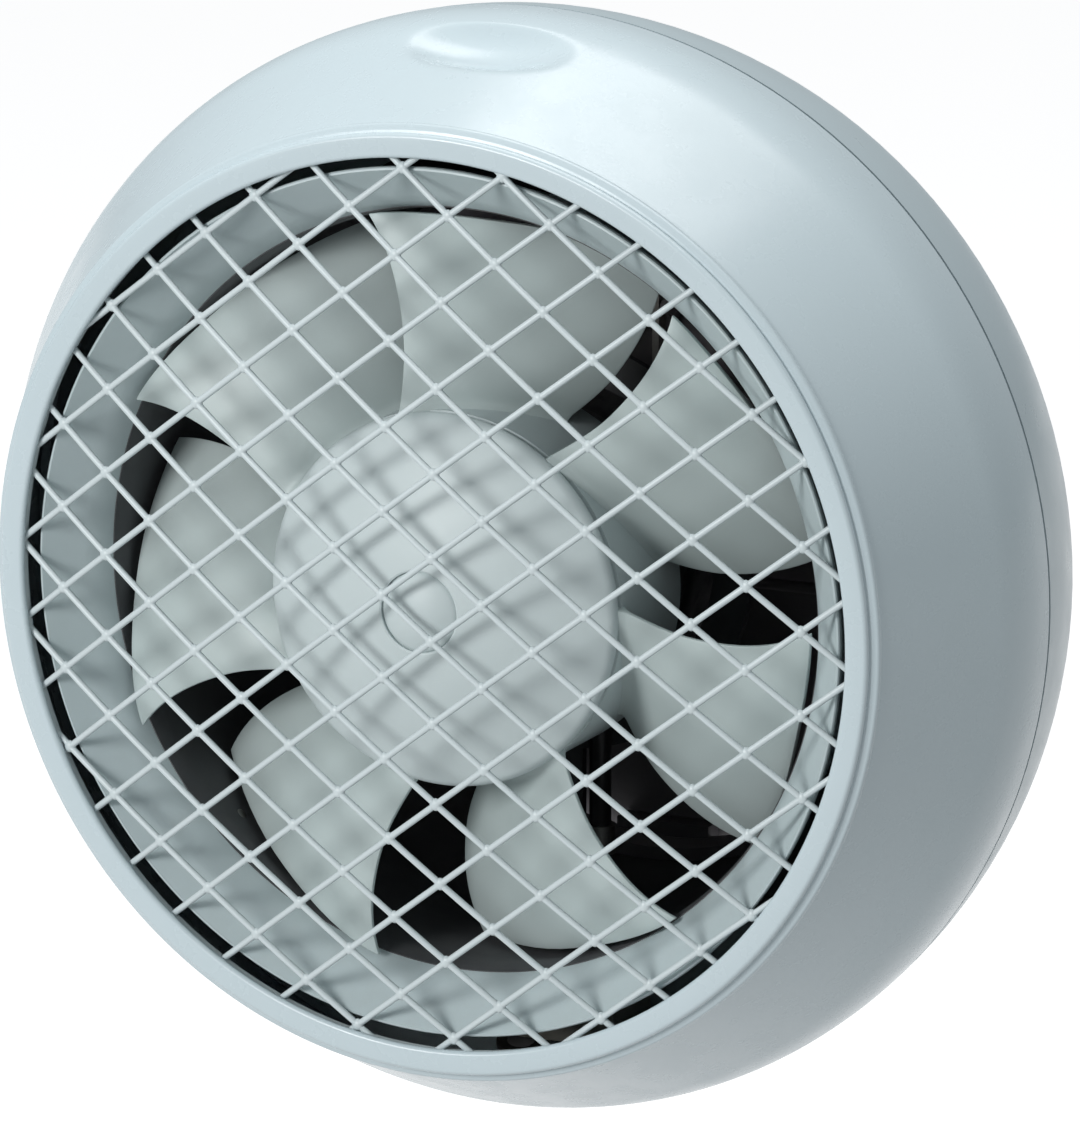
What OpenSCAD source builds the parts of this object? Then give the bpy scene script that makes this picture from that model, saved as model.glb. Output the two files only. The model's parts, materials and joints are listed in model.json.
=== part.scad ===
// Round window exhaust fan, 200 mm class: a removable cowl with a domed diamond grille in front,
// a seven-blade impeller on an induction motor inside a steel duct, and a linked gravity shutter behind.
// The origin is the centre of the face that lies against the window panel.
// Front, the room side, is -Y; +Z is up. Depths are distances in front of the window face.

/* [Cowl] */
// Widest radius of the cowl
cowl_r = 150; // [146:0.5:156]
// Depth of the cowl's widest ring
cowl_widest = 40; // [36:1:44]
// Depth of the front of the lip
cowl_front = 99.5; // [97:0.5:103]
// Depth of the cowl's rear edge
cowl_rear = 33.4; // [31:0.2:35]
// Wall of the cowl
cowl_wall = 2.5; // [2:0.1:3]
// Radius of the rounding between the widest ring and the sloping front
side_arc = 42.6; // [36:0.2:48]
// Width of the cowl outside its mouth
cowl_flank = 30; // [28:0.5:32]
// Width of the lip
lip_width = 6.6; // [6:0.1:7.4]
// Thickness of the lip
lip_thick = 2.5; // [2.2:0.1:3]
// Radius of the bead behind the lip
bead_r = 1.3; // [1:0.1:1.6]
// Height of the bead above the sloping front
bead_proud = 0.5; // [0.2:0.1:0.8]
// Distance of the bead's middle outside the lip
bead_out = 1; // [0.6:0.1:1.6]
// Distance of the bead's middle behind the front of the lip
bead_drop = 3.9; // [3.6:0.1:4.4]

/* [Finger recess] */
// Depth of the middle of the finger recess
recess_place = 66; // [60:1:74]
// Depth that the recess is sunk below the cowl's skin
recess_sink = 4; // [2:0.5:5]
// Radius across the recess
recess_round = 82; // [60:1:110]
// Radius along the recess
recess_scoop = 14; // [10:1:20]

/* [Grille] */
// Distance between neighbouring parallel bars
grille_pitch = 17.6; // [14:0.1:24]
// Slope of the bars from the horizontal
grille_slope = 37.8; // [30:0.1:45]
// Width of a bar
bar_width = 1.8; // [1.2:0.1:2.6]
// Thickness of a bar
bar_thick = 1.8; // [1.4:0.1:2.2]
// Radius of the round boss where bars cross
crossing_r = 1.65; // [1.4:0.05:2.2]
// Rise of the dome from its rim to its middle
grille_dome = 13.6; // [13:0.1:20]
// Distance of the flange's edge outside the mouth
grille_flange = 5.8; // [5.4:0.1:5.9]
// Thickness of the flange
grille_flange_thick = 2; // [1.6:0.1:2.6]
// Radius of a grille screw
grille_screw_r = 1.2; // [1:0.05:1.25]
// Number of screws that hold the grille
grille_screw_count = 6; // [3:1:8]

/* [Impeller] */
// Number of blades
blade_count = 7; // [5:1:8]
// Angle that one blade covers
blade_arc = 42; // [34:1:44]
// Depth of the leading edge at the hub
blade_root_depth = 85.5; // [82:0.5:86]
// Depth of the leading edge at the tip
blade_tip_depth = 82.5; // [72:0.5:84]
// Axial length of the blade at the hub
blade_root_run = 25.5; // [22:0.5:32]
// Axial length of the blade at the tip
blade_tip_run = 29.5; // [22:0.5:32]
// Sweep of the middle of the leading edge behind its ends
blade_sweep = 3.4; // [0:0.1:6]
// Angle that the root of the leading edge is drawn forward
root_flare = 3; // [0:0.1:4]
// Thickness of the blade at mid chord
blade_thick = 2.4; // [1.8:0.1:3]
// Thickness of the blade at its edges
blade_edge = 1.1; // [0.8:0.1:1.6]
// Radius of the hub
hub_r = 50.5; // [49:0.5:54]
// Depth of the hub's nose
hub_front = 103.5; // [101:0.5:104.5]
// Rise of the hub's dome
hub_dome = 14.5; // [11:0.5:18]
// Depth of the hub's rear edge
hub_rear = 48; // [46:0.5:52]
// Wall of the hub
hub_wall = 2.2; // [1.8:0.1:2.8]
// Rounding between the dome and the side of the hub
hub_round = 4; // [3:0.5:6]
// Radius of the spinner nut
spinner_r = 10.5; // [9:0.5:13]
// Height of the spinner nut above its seat
spinner_height = 3.6; // [3:0.1:4]

/* [Duct] */
// Width of the inlet ring, from the cowl's mouth in to its throat
inlet_width = 17.5; // [16:0.5:19]
// Gap between the blade tips and the duct
tip_gap = 2.2; // [1.8:0.1:4]
// Wall of the duct sleeve
duct_wall = 1.5; // [1.2:0.1:2]
// Length of the duct sleeve behind the window face
duct_rear = 50; // [40:1:70]
// Depth of the throat, where the inlet ring meets the duct
throat_depth = 71; // [69:0.5:74]
// Depth of the inlet ring's rim
inlet_front = 92.5; // [90:0.5:93]
// Gap between the inlet ring's rim and the mouth
inlet_gap = 1.7; // [1:0.1:2.5]
// Wall of the inlet ring
inlet_wall = 2.2; // [1.8:0.1:3]
// Length of the inlet ring's socket over the duct
socket_length = 13; // [10:1:16]
// Width of the duct's flange
flange_width = 9; // [8:0.5:10]
// Thickness of the duct's flange
flange_thick = 2.5; // [2:0.1:3]

/* [Mounting ring] */
// Width that the mounting ring tapers in, down to the window
ring_taper = 7.4; // [5:0.2:9]
// Wall of the mounting ring
ring_wall = 2.6; // [2:0.1:3]
// Gap at the seam between the ring and the cowl
seam_gap = 0.8; // [0.4:0.1:1.2]
// Thickness of the plate against the window
plate_thick = 5; // [4.5:0.1:7]
// Length of the spigot inside the cowl
spigot_length = 8; // [6:0.5:10]
// Length of the collar that centres the fan in the window's hole
collar_length = 12; // [8:1:20]
// Wall of the collar
collar_wall = 2.3; // [1.8:0.1:2.8]
// Distance of the panel screw holes outside the duct
panel_screw_out = 16; // [14.5:0.5:17.5]
// Radius of a panel screw hole
panel_hole_r = 2.25; // [1.75:0.05:2.75]
// Number of panel screw holes
panel_hole_count = 4; // [4:1:8]
// Distance of the window gasket from the ring's rear edge
gasket_inset = 5.6; // [4:0.2:6.4]
// Width of the window gasket
gasket_width = 9; // [7:0.5:10]
// Thickness of the window gasket
gasket_thick = 2; // [1.5:0.1:3]

/* [Motor] */
// Radius of the motor
motor_r = 42; // [38:0.5:44]
// Depth of the front of the motor
motor_front = 62; // [58:0.5:66]
// Length of the front end shield
front_shield_length = 16; // [14:0.5:18]
// Length of the stator core
core_length = 20; // [16:0.5:22]
// Length of the rear end shield
rear_shield_length = 28; // [26:0.5:34]
// Wall of the end shields
shield_wall = 3; // [2.5:0.1:3.5]
// Radius of the shaft
shaft_r = 4; // [3:0.1:4.4]
// Radius of the rotor core
rotor_r = 19.5; // [17:0.5:22]
// Gap between the rotor and the stator
air_gap = 0.5; // [0.4:0.05:0.8]
// Outer radius of a bearing bush
bearing_r = 9; // [8:0.1:10]
// Length of a bearing bush
bearing_length = 10; // [8:0.5:12]
// Number of bracket arms
arm_count = 3; // [3:1:3]
// Width of a bracket arm
arm_width = 14; // [12:0.5:18]
// Thickness of the bracket
arm_thick = 2.5; // [2:0.1:3]
// Height of a rubber bush
bush_height = 5; // [4:0.5:7]
// Radius of a motor bolt
motor_bolt_r = 2; // [1.6:0.1:2.4]

/* [Wiring] */
// Width of the terminal box
box_width = 44; // [40:1:48]
// Height of the terminal box
box_height = 20; // [18:0.5:21]
// Depth of the terminal box in front of the plate
box_deep = 22; // [19:0.5:26]
// Wall of the terminal box
box_wall = 2; // [1.6:0.1:2.4]
// Radius of the motor lead
lead_r = 3; // [2.4:0.1:3.2]
// Radius of the supply cable's hole in its grommet
cable_r = 3.8; // [3:0.1:4.2]
// Length of the capacitor
capacitor_length = 36; // [28:1:42]
// Width of the capacitor
capacitor_width = 18; // [14:0.5:19]
// Height of the capacitor
capacitor_height = 26; // [20:1:30]

/* [Shutter] */
// Number of shutter flaps
flap_count = 5; // [5:1:5]
// Distance of the top hinge line below the shutter's rim
flap_head = 14.5; // [14:0.25:15]
// Thickness of a flap
flap_thick = 1.2; // [1:0.1:1.4]
// Distance that a closed flap stands out over the one below
flap_stand = 2.85; // [2.7:0.05:3.2]
// Overlap of a flap over the one below
flap_overlap = 3; // [2:0.5:4]
// Radius of a flap's hinge barrel
barrel_r = 1.6; // [1.5:0.05:1.8]
// Radius of a flap's hinge pin
flap_pin_r = 1.2; // [1:0.05:1.3]
// Distance of the hinge line behind the duct's end
hinge_behind = 4.5; // [4.4:0.1:6]
// Length of a flap's lever
lever_length = 8.6; // [8:0.1:9]
// Angle of a closed flap's lever from straight out
lever_angle = 159; // [155:1:160]
// Width of the link bar
link_width = 4.4; // [4:0.1:4.6]
// Thickness of the link bar
link_thick = 2; // [1.6:0.1:2.4]

/* [Fits] */
// Radial clearance of a turning pin in its hole
running = 0.05; // [0.03:0.01:0.08]
// Gap between pieces that are pushed together
seat = 0.2; // [0.1:0.05:0.3]
// Gap between the spigot and the cowl
cowl_gap = 0.5; // [0.4:0.05:0.8]
// Radius of a small screw
screw_r = 1.5; // [1.2:0.05:1.8]

/* [Hidden] */
$fn = 96;

pale = [0.86, 0.89, 0.92];
blade_grey = [0.74, 0.77, 0.76];
steel = [0.62, 0.64, 0.66];
dark_steel = [0.16, 0.17, 0.18];
rubber = [0.1, 0.1, 0.1];
off_white = [0.8, 0.8, 0.76];
copper = [0.72, 0.38, 0.2];
bronze = [0.66, 0.5, 0.3];
cast = [0.58, 0.6, 0.62];

slack = 0.01;
over = 1;
head_ratio = 1.9;
head_height = 1.8;
full_turn = 360;
down = 270;

// Mounting ring and the cowl's rear: one arc, upright at the widest ring, runs in to the window.
ring_rear_r = cowl_r - ring_taper;
ring_arc = (pow(ring_taper, 2) + pow(cowl_widest, 2)) / (2 * ring_taper);
ring_centre = cowl_r - ring_arc;

// Cowl's front: an arc from the widest ring, and a straight slope from it to the bead.
mouth_r = cowl_r - cowl_flank;
side_centre = cowl_r - side_arc;
bead_middle = mouth_r + lip_width + bead_out;
bead_depth = cowl_front - bead_drop;
bead_run = [bead_middle - side_centre, bead_depth - cowl_widest];
bead_in = side_arc - bead_r + bead_proud;
flank_angle = atan2(bead_run[1], bead_run[0]) - acos(bead_in / norm(bead_run));
flank_length = sqrt(pow(norm(bead_run), 2) - pow(bead_in, 2));
flank_start = cowl_widest + side_arc * sin(flank_angle);
rear_steps = 4;
side_steps = 14;
lip_round = lip_thick / 2;
lip_back = cowl_front - lip_thick;
function arc_skin(centre, arc, depth) = centre + sqrt(pow(arc, 2) - pow(depth - cowl_widest, 2));
function cowl_skin(depth) = depth < flank_start ? arc_skin(side_centre, side_arc, depth)
    : side_centre + (side_arc - (depth - cowl_widest) * sin(flank_angle)) / cos(flank_angle);

// Spigot and clips
ring_front = cowl_rear - seam_gap;
spigot_r = arc_skin(ring_centre, ring_arc - cowl_wall, cowl_rear) - cowl_gap;
shoulder = 3;
clip_count = 3;
clip_width = 12;
clip_thick = 0.7;
clip_rivet_y = -ring_front + shoulder / 2;
rivet_end = spigot_r + ring_wall * 0.3;
rivet_seat = sqrt(pow(spigot_r - ring_wall - clip_thick, 2) - pow(screw_r * head_ratio, 2)) - slack;

// Duct, inlet and plate
duct_r = mouth_r - inlet_width;
impeller_r = duct_r - tip_gap;
sleeve_r = duct_r + duct_wall;
flange_r = sleeve_r + flange_width;
plate_hole_r = sleeve_r + seat;
duct_screw_circle = sleeve_r + flange_width / 2;
duct_screw_count = 6;
panel_screw_circle = sleeve_r + panel_screw_out;
gasket_r = ring_rear_r - gasket_inset - gasket_width;
rim_r = mouth_r - inlet_gap;
inlet_rise = inlet_front - throat_depth;
inlet_arc = (pow(rim_r - duct_r, 2) + pow(inlet_rise, 2)) / (2 * (rim_r - duct_r));
socket_r = sleeve_r + seat;
socket_depth = throat_depth - socket_length;
inlet_screw_count = 4;
duct_front = throat_depth - seat;

// Grille
mesh_rim = lip_back - bar_thick / 2;
mesh_sphere = (pow(mouth_r, 2) + pow(grille_dome, 2)) / (2 * grille_dome);
mesh_centre = mesh_sphere - mesh_rim - grille_dome;
mesh_edge_r = mouth_r + bar_width;
grille_flange_inner = mouth_r + 0.6;
grille_screw_circle = (grille_flange_inner + mouth_r + grille_flange) / 2;
grille_screw_reach = lip_thick - 0.7;

// Hub
dome_sphere = (pow(hub_r, 2) + pow(hub_dome, 2)) / (2 * hub_dome);
dome_centre = dome_sphere - hub_front;
hub_boss_r = 10;
insert_r = 7;
insert_rear = 77;
nose_seat = hub_front - 2;
cap_core = 2.5;
drive_pin_r = 1;
drive_pin_half = 6;
pin_depth = insert_rear + 1.5;

// Motor, from front to rear
core_front = motor_front - front_shield_length;
core_rear = core_front - core_length;
motor_rear = core_rear - rear_shield_length;
lug_thick = 4;
bracket_front = core_rear - lug_thick - bush_height;
bracket_rear = bracket_front - arm_thick;
lug_out = 9.5;
lug_end = 5.5;
lug_circle = motor_r + lug_out;
lug_end_r = lug_circle + lug_end;
bracket_ring_in = motor_r + 4;
bush_r = 5;
lug_hole_r = motor_bolt_r + 0.4;
foot_length = 19;
foot_gap = 0.2;
tie_circle = motor_r - 5;
tie_count = 4;
tie_boss = 2.5;
winding_in = rotor_r + 2.5;
winding_out = tie_circle - motor_bolt_r - tie_boss - 0.5;
winding_length = 11;
bearing_boss_r = bearing_r + 3;
bearing_nose = 4;
front_seat = motor_front + bearing_nose;
rear_seat = motor_rear + shield_wall + over - bearing_length;
shaft_front = hub_front - 1;
shaft_rear = rear_seat - 3.5;
foot_screws = [-bracket_front - foot_length * 0.75, -bracket_front - foot_length * 0.3];

// Wiring
grommet_wall = 1.8;
grommet_lip = 1.2;
lead_x = arm_width / 2 + lead_r + grommet_wall + grommet_lip + 1;
lead_depth = bracket_front + lead_r + 0.5;
box_top = flange_r + 3.5;
box_front = plate_thick + box_deep;
lead_clip_in = 22.5;
lead_clip_drop = duct_r - lead_clip_in;
lead_clip_half = 4;
lead_clip_wall = 1.2;
supply_x = -13;
supply_depth = 14;
box_screw_in = box_wall + screw_r * head_ratio + seat;
box_screw_x = box_width / 2 - box_screw_in;
cover_thick = 2;
thread_end = 2.6;
capacitor_in = flange_r + 2.5;
strap_thick = 1.2;
strap_screw_z = capacitor_length / 2 + 4.9;

// Shutter
frame_bore = duct_r - 3.9;
frame_spigot_r = duct_r - seat;
frame_spigot_length = 12;
frame_flange = 2;
shutter_screw_count = 4;
shutter_screw_start = 20;
shutter_screw_y = duct_rear - frame_spigot_length / 2;
hinge_y = duct_rear + hinge_behind;
ear_thick = 3;
ear_inset = 1.5;
ear_r = 2.6;
flap_r = sleeve_r - 2.5;
top_hinge = flap_r - flap_head;
flap_pitch = (top_hinge + flap_r - 3.5) / flap_count;
flap_lean = atan(flap_stand / flap_pitch);
flap_swing = 80;
lever_thick = 2;
function hinge_z(k) = top_hinge - (k - 1) * flap_pitch;
function ear_x(k) = sqrt(pow(frame_bore, 2) - pow(hinge_z(k), 2)) - ear_inset - ear_thick;
lever_y = lever_length * cos(lever_angle);
lever_z = lever_length * sin(lever_angle);

// Helpers: everything round about the fan's axis is drawn as (radius, y) and spun about Y.
module spin_y() { rotate([-90, 0, 0]) rotate_extrude() children(); }
module tube_y(ro, ri, y0, y1) { spin_y() translate([ri, y0]) square([ro - ri, y1 - y0]); }
module rod_y(r, y0, y1) { translate([0, y0, 0]) rotate([-90, 0, 0]) cylinder(r = r, h = y1 - y0); }
module rod_x(r, x0, x1) { translate([x0, 0, 0]) rotate([0, 90, 0]) cylinder(r = r, h = x1 - x0); }
module rod_z(r, z0, z1) { translate([0, 0, z0]) cylinder(r = r, h = z1 - z0); }
module block(low, high) { translate(low) cube(high - low); }
module at_angle(a) { rotate([0, -a, 0]) children(); }
module around(count, start = 0) {
    for (k = [0 : count - 1]) at_angle(start + k * full_turn / count) children();
}

// A pan-head screw along Y: its head starts at head_y and points forward, its shank runs to tip_y.
module screw_y(r, head_y, tip_y) {
    difference() {
        union() {
            rod_y(r * head_ratio, head_y - head_height, head_y);
            rod_y(r, head_y - slack, tip_y);
        }
        cross_y(r, head_y - head_height);
    }
}
module cross_y(r, y) {
    arm = r * 1.1;
    slot = r * 0.25;
    block([-arm, y - over, -slot], [arm, y + head_height / 2, slot]);
    block([-slot, y - over, -arm], [slot, y + head_height / 2, arm]);
}
// A pan-head screw along +X: its head lies inside head_x, its shank runs out to tip_x.
module screw_x(r, head_x, tip_x) { rotate([0, 0, -90]) screw_y(r, head_x, tip_x); }

// ---- Cowl ----
// Points down the cowl's side, a distance inside its skin, from the rear edge to the bead
function side_points(inset) = concat(
    [for (i = [0 : rear_steps - 1]) let (depth = cowl_rear + (cowl_widest - cowl_rear) * i / rear_steps)
        [arc_skin(ring_centre, ring_arc - inset, depth), -depth]],
    [for (i = [0 : side_steps]) let (a = flank_angle * i / side_steps)
        [side_centre + (side_arc - inset) * cos(a), -cowl_widest - (side_arc - inset) * sin(a)]],
    [[side_centre + (side_arc - inset) * cos(flank_angle) - flank_length * sin(flank_angle),
      -cowl_widest - (side_arc - inset) * sin(flank_angle) - flank_length * cos(flank_angle)]]);
// The side of the cowl as a wall of a given thickness
module side_section(wall) {
    inner = side_points(wall);
    polygon(concat(side_points(0), [for (i = [len(inner) - 1 : -1 : 0]) inner[i]]));
}
module lip_section() {
    web_in = mouth_r + lip_width - lip_round / 2;
    web_rear = bead_depth - bead_r * 0.85;
    translate([mouth_r + lip_round, lip_round - cowl_front]) circle(r = lip_round);
    translate([mouth_r + lip_round, -cowl_front]) square([lip_width - lip_thick, lip_thick]);
    translate([mouth_r + lip_width - lip_round, lip_round - cowl_front]) circle(r = lip_round);
    translate([bead_middle, -bead_depth]) circle(r = bead_r);
    translate([web_in, -lip_back - lip_round * 0.55])
        square([bead_middle - web_in, lip_back + lip_round * 0.55 - web_rear]);
}
// A scoop bent round an axis above the cowl: it dips recess_sink into the skin
module recess_scoop_at(grow) {
    height = cowl_skin(recess_place) - recess_sink + recess_round;
    translate([0, -recess_place, height]) spin_y()
        translate([recess_round - recess_scoop, 0]) circle(r = recess_scoop + grow);
}
module front_cowl() {
    color(pale) difference() {
        union() {
            spin_y() {
                side_section(cowl_wall);
                lip_section();
            }
            intersection() {
                recess_scoop_at(cowl_wall);
                spin_y() side_section(recess_sink + 3 * cowl_wall);
            }
        }
        recess_scoop_at(0);
        around(grille_screw_count, full_turn / grille_screw_count / 2)
            translate([grille_screw_circle, 0, 0])
                rod_y(grille_screw_r + slack, -lip_back - grille_screw_reach - slack, -lip_back + over);
    }
}

// ---- Grille ----
module bars_2d(slope, first) {
    reach = ceil(mouth_r / grille_pitch);
    rotate(slope) for (k = [-reach : reach])
        translate([-mesh_edge_r, (k + first) * grille_pitch - bar_width / 2])
            square([2 * mesh_edge_r, bar_width]);
}
module crossings_2d() {
    reach = ceil(2 * mouth_r / grille_pitch);
    step = grille_pitch / sin(2 * grille_slope);
    for (i = [-reach : reach]) for (j = [-reach : reach]) {
        x = ((i + 0.5) + j) * step * cos(grille_slope);
        z = (j - (i + 0.5)) * step * sin(grille_slope);
        if (norm([x, z]) < mouth_r - crossing_r) translate([x, z]) circle(r = crossing_r, $fn = 24);
    }
}
module grille_shell() {
    spin_y() intersection() {
        difference() {
            translate([0, mesh_centre]) circle(r = mesh_sphere + bar_thick / 2, $fn = 720);
            translate([0, mesh_centre]) circle(r = mesh_sphere - bar_thick / 2, $fn = 720);
        }
        translate([0, -mesh_rim - grille_dome - bar_thick])
            square([mesh_edge_r, grille_dome + 2 * bar_thick]);
    }
}
module grille() {
    color(pale) {
        difference() {
            union() {
                intersection() {
                    grille_shell();
                    rotate([90, 0, 0]) linear_extrude(lip_back + grille_dome + 2 * bar_thick)
                        intersection() {
                            union() {
                                bars_2d(grille_slope, 0.5);
                                bars_2d(-grille_slope, 0);
                                crossings_2d();
                            }
                            circle(r = mesh_edge_r);
                        }
                }
                tube_y(mouth_r + grille_flange, grille_flange_inner, -lip_back, grille_flange_thick - lip_back);
            }
            around(grille_screw_count, full_turn / grille_screw_count / 2)
                translate([grille_screw_circle, 0, 0]) {
                    rod_y(grille_screw_r + seat, -lip_back - over, -lip_back + grille_flange_thick + over);
                    rod_y(grille_screw_r * head_ratio + seat, grille_flange_thick - lip_back - slack,
                          grille_flange_thick - lip_back + 2 * bar_thick);
                }
        }
    }
}
module grille_screws() {
    color(steel) around(grille_screw_count, full_turn / grille_screw_count / 2)
        translate([grille_screw_circle, 0, 0]) mirror([0, 1, 0])
            screw_y(grille_screw_r, lip_back - grille_flange_thick, lip_back + grille_screw_reach);
}

// ---- Mounting ring ----
module clip_window(grow) {
    block([spigot_r - shoulder - grow, -ring_front - spigot_length * 0.75 - grow, -clip_width / 4 - grow],
          [cowl_r, -ring_front - spigot_length * 0.25 + grow, clip_width / 4 + grow]);
}
module ring_section() {
    difference() {
        union() {
            intersection() {
                difference() {
                    translate([ring_centre, -cowl_widest]) circle(r = ring_arc, $fn = 240);
                    translate([ring_centre, -cowl_widest]) circle(r = ring_arc - ring_wall, $fn = 240);
                }
                translate([plate_hole_r, -ring_front]) square([cowl_r, ring_front]);
            }
            translate([plate_hole_r, -plate_thick])
                square([ring_rear_r - ring_wall / 2 - plate_hole_r, plate_thick]);
            translate([plate_hole_r, -plate_thick]) square([collar_wall, plate_thick + collar_length]);
            translate([spigot_r - ring_wall, -ring_front - spigot_length])
                square([ring_wall, spigot_length + shoulder]);
            translate([spigot_r - ring_wall, -ring_front]) square([ring_wall * 1.6, shoulder]);
        }
        translate([gasket_r - seat, -gasket_thick]) square([gasket_width + 2 * seat, gasket_thick + over]);
    }
}
module mounting_ring() {
    color(pale) difference() {
        union() {
            spin_y() ring_section();
            around(panel_hole_count, full_turn / panel_hole_count / 2)
                translate([panel_screw_circle, 0, 0]) rod_y(panel_hole_r + 2.5, -plate_thick - 2, -over);
        }
        around(panel_hole_count, full_turn / panel_hole_count / 2) translate([panel_screw_circle, 0, 0])
            rod_y(panel_hole_r, -plate_thick - 2 * over - 2, over);
        around(duct_screw_count) translate([duct_screw_circle, 0, 0])
            rod_y(screw_r + slack, -plate_thick - over, 1 - 2 * over);
        around(clip_count, down) clip_window(0.3);
        around(clip_count, down) translate([0, clip_rivet_y, 0]) rod_x(screw_r + running, 0, rivet_end + slack);
        translate([supply_x, -supply_depth, 0])
            rod_z(cable_r + grommet_wall, -cowl_r, -box_top - box_height);
        for (side = [-1, 1]) {
            translate([side * box_screw_x, 0, -box_top - box_height / 2])
                rod_y(screw_r + slack, -plate_thick - over, slack - thread_end);
            translate([-capacitor_in - capacitor_width / 2, 0, side * strap_screw_z])
                rod_y(screw_r + slack, -plate_thick - over, slack - thread_end);
        }
    }
}
module window_gasket() {
    color(rubber) tube_y(gasket_r + gasket_width, gasket_r, -gasket_thick, 0);
}
// A leaf spring under the spigot with a nub that stands through a window and grips the cowl
module cowl_clips() {
    color(steel) around(clip_count, down) difference() {
        union() {
            intersection() {
                tube_y(spigot_r - ring_wall - slack, spigot_r - ring_wall - clip_thick,
                       -ring_front - spigot_length, -ring_front + shoulder + over);
                block([0, -cowl_r, -clip_width / 2], [cowl_r, 0, clip_width / 2]);
            }
            intersection() {
                clip_window(0);
                tube_y(spigot_r, spigot_r - ring_wall - clip_thick, -cowl_front, 0);
            }
        }
        translate([0, clip_rivet_y, 0]) rod_x(screw_r + seat, 0, cowl_r);
    }
}
module clip_rivets() {
    color(steel) around(clip_count, down) translate([0, clip_rivet_y, 0]) {
        rod_x(screw_r * head_ratio, rivet_seat - 1, rivet_seat);
        rod_x(screw_r, rivet_seat - slack, rivet_end);
    }
}

// ---- Inlet and duct ----
module inlet_ring() {
    color(pale) difference() {
        union() {
            spin_y() {
                intersection() {
                    difference() {
                        translate([duct_r + inlet_arc, -throat_depth]) circle(r = inlet_arc, $fn = 180);
                        translate([duct_r + inlet_arc, -throat_depth])
                            circle(r = inlet_arc - inlet_wall, $fn = 180);
                    }
                    translate([duct_r, -throat_depth - inlet_arc])
                        square([rim_r - duct_r, inlet_arc]);
                }
                translate([duct_r, -throat_depth]) square([inlet_wall + seat + duct_wall, seat]);
                translate([socket_r, -throat_depth]) square([inlet_wall, socket_length]);
            }
        }
        around(inlet_screw_count, full_turn / inlet_screw_count / 2)
            translate([0, -(socket_depth + throat_depth) / 2, 0]) rod_x(screw_r + running, 0, cowl_r);
    }
}
module inlet_screws() {
    color(steel) around(inlet_screw_count, full_turn / inlet_screw_count / 2)
        translate([0, -(socket_depth + throat_depth) / 2, 0]) mirror([1, 0, 0])
            screw_x(screw_r, -socket_r - inlet_wall, -sleeve_r + duct_wall);
}
module duct_sleeve() {
    color(dark_steel) difference() {
        union() {
            tube_y(sleeve_r, duct_r, -duct_front, duct_rear);
            tube_y(flange_r, duct_r + slack, -plate_thick - flange_thick, -plate_thick);
        }
        around(duct_screw_count) translate([duct_screw_circle, 0, 0])
            rod_y(screw_r + running, -plate_thick - flange_thick - over, -plate_thick + over);
        around(inlet_screw_count, full_turn / inlet_screw_count / 2)
            translate([0, -(socket_depth + throat_depth) / 2, 0]) rod_x(screw_r + running, 0, cowl_r);
        around(arm_count, down) for (y = foot_screws) translate([0, y, 0])
            rod_x(screw_r + running, 0, cowl_r);
        around(shutter_screw_count, shutter_screw_start) translate([0, shutter_screw_y, 0])
            rod_x(screw_r + running, 0, cowl_r);
        translate([lead_x, -lead_depth, 0]) rod_z(lead_r + grommet_wall, -cowl_r, 0);
    }
}
module duct_screws() {
    color(steel) around(duct_screw_count) translate([duct_screw_circle, 0, 0])
        screw_y(screw_r, -plate_thick - flange_thick, -1.2);
}

// ---- Impeller ----
root_r = hub_r - hub_wall / 2;
radial_steps = 9;
chord_steps = 8;
camber = 1.45;
flare_span = 0.4;
// Leading edge: a shallow bow, its middle swept back, with its root drawn forward into the hub
function lead_angle(u) = 0.6 - blade_sweep * (4 * u * (1 - u)) + root_flare * pow(max(1 - u / flare_span, 0), 2);
function lead_depth_at(u) = blade_root_depth + (blade_tip_depth - blade_root_depth) * pow(u, 3);
function run_at(u) = blade_root_run + (blade_tip_run - blade_root_run) * u;
function thick_at(u, c) = blade_edge + (blade_thick - blade_edge) * pow(4 * c * (1 - c), 0.6) * (1 - 0.3 * u);
// The tips keep their gap to the duct, and in front of the throat to the inlet ring
function tip_at(depth) = depth < throat_depth ? impeller_r
    : impeller_r + inlet_arc - sqrt(pow(inlet_arc, 2) - pow(depth - throat_depth, 2));
// A point on the front (side 1) or the back (side -1) of the blade, at span u and chord c
function blade_point(u, c, side) =
    let (depth = lead_depth_at(u) - run_at(u) * pow(c, camber),
         r = root_r + u * (tip_at(depth) - root_r),
         around_c = r * blade_arc * PI / 180,
         rise = run_at(u) * camber * pow(max(c, 0.02), camber - 1),
         size = norm([around_c, rise]),
         half = side * thick_at(u, c) / 2,
         angle = lead_angle(u) - c * blade_arc - half * rise / size / r * 180 / PI)
    [r * cos(angle), -depth - half * around_c / size, r * sin(angle)];
function grid_index(side, i, j) = side * (radial_steps + 1) * (chord_steps + 1) + i * (chord_steps + 1) + j;
function quad(a, b, c, d) = [[a, b, c], [a, c, d]];
blade_points = [for (s = [1, -1]) for (i = [0 : radial_steps]) for (j = [0 : chord_steps])
    blade_point(i / radial_steps, j / chord_steps, s)];
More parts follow.
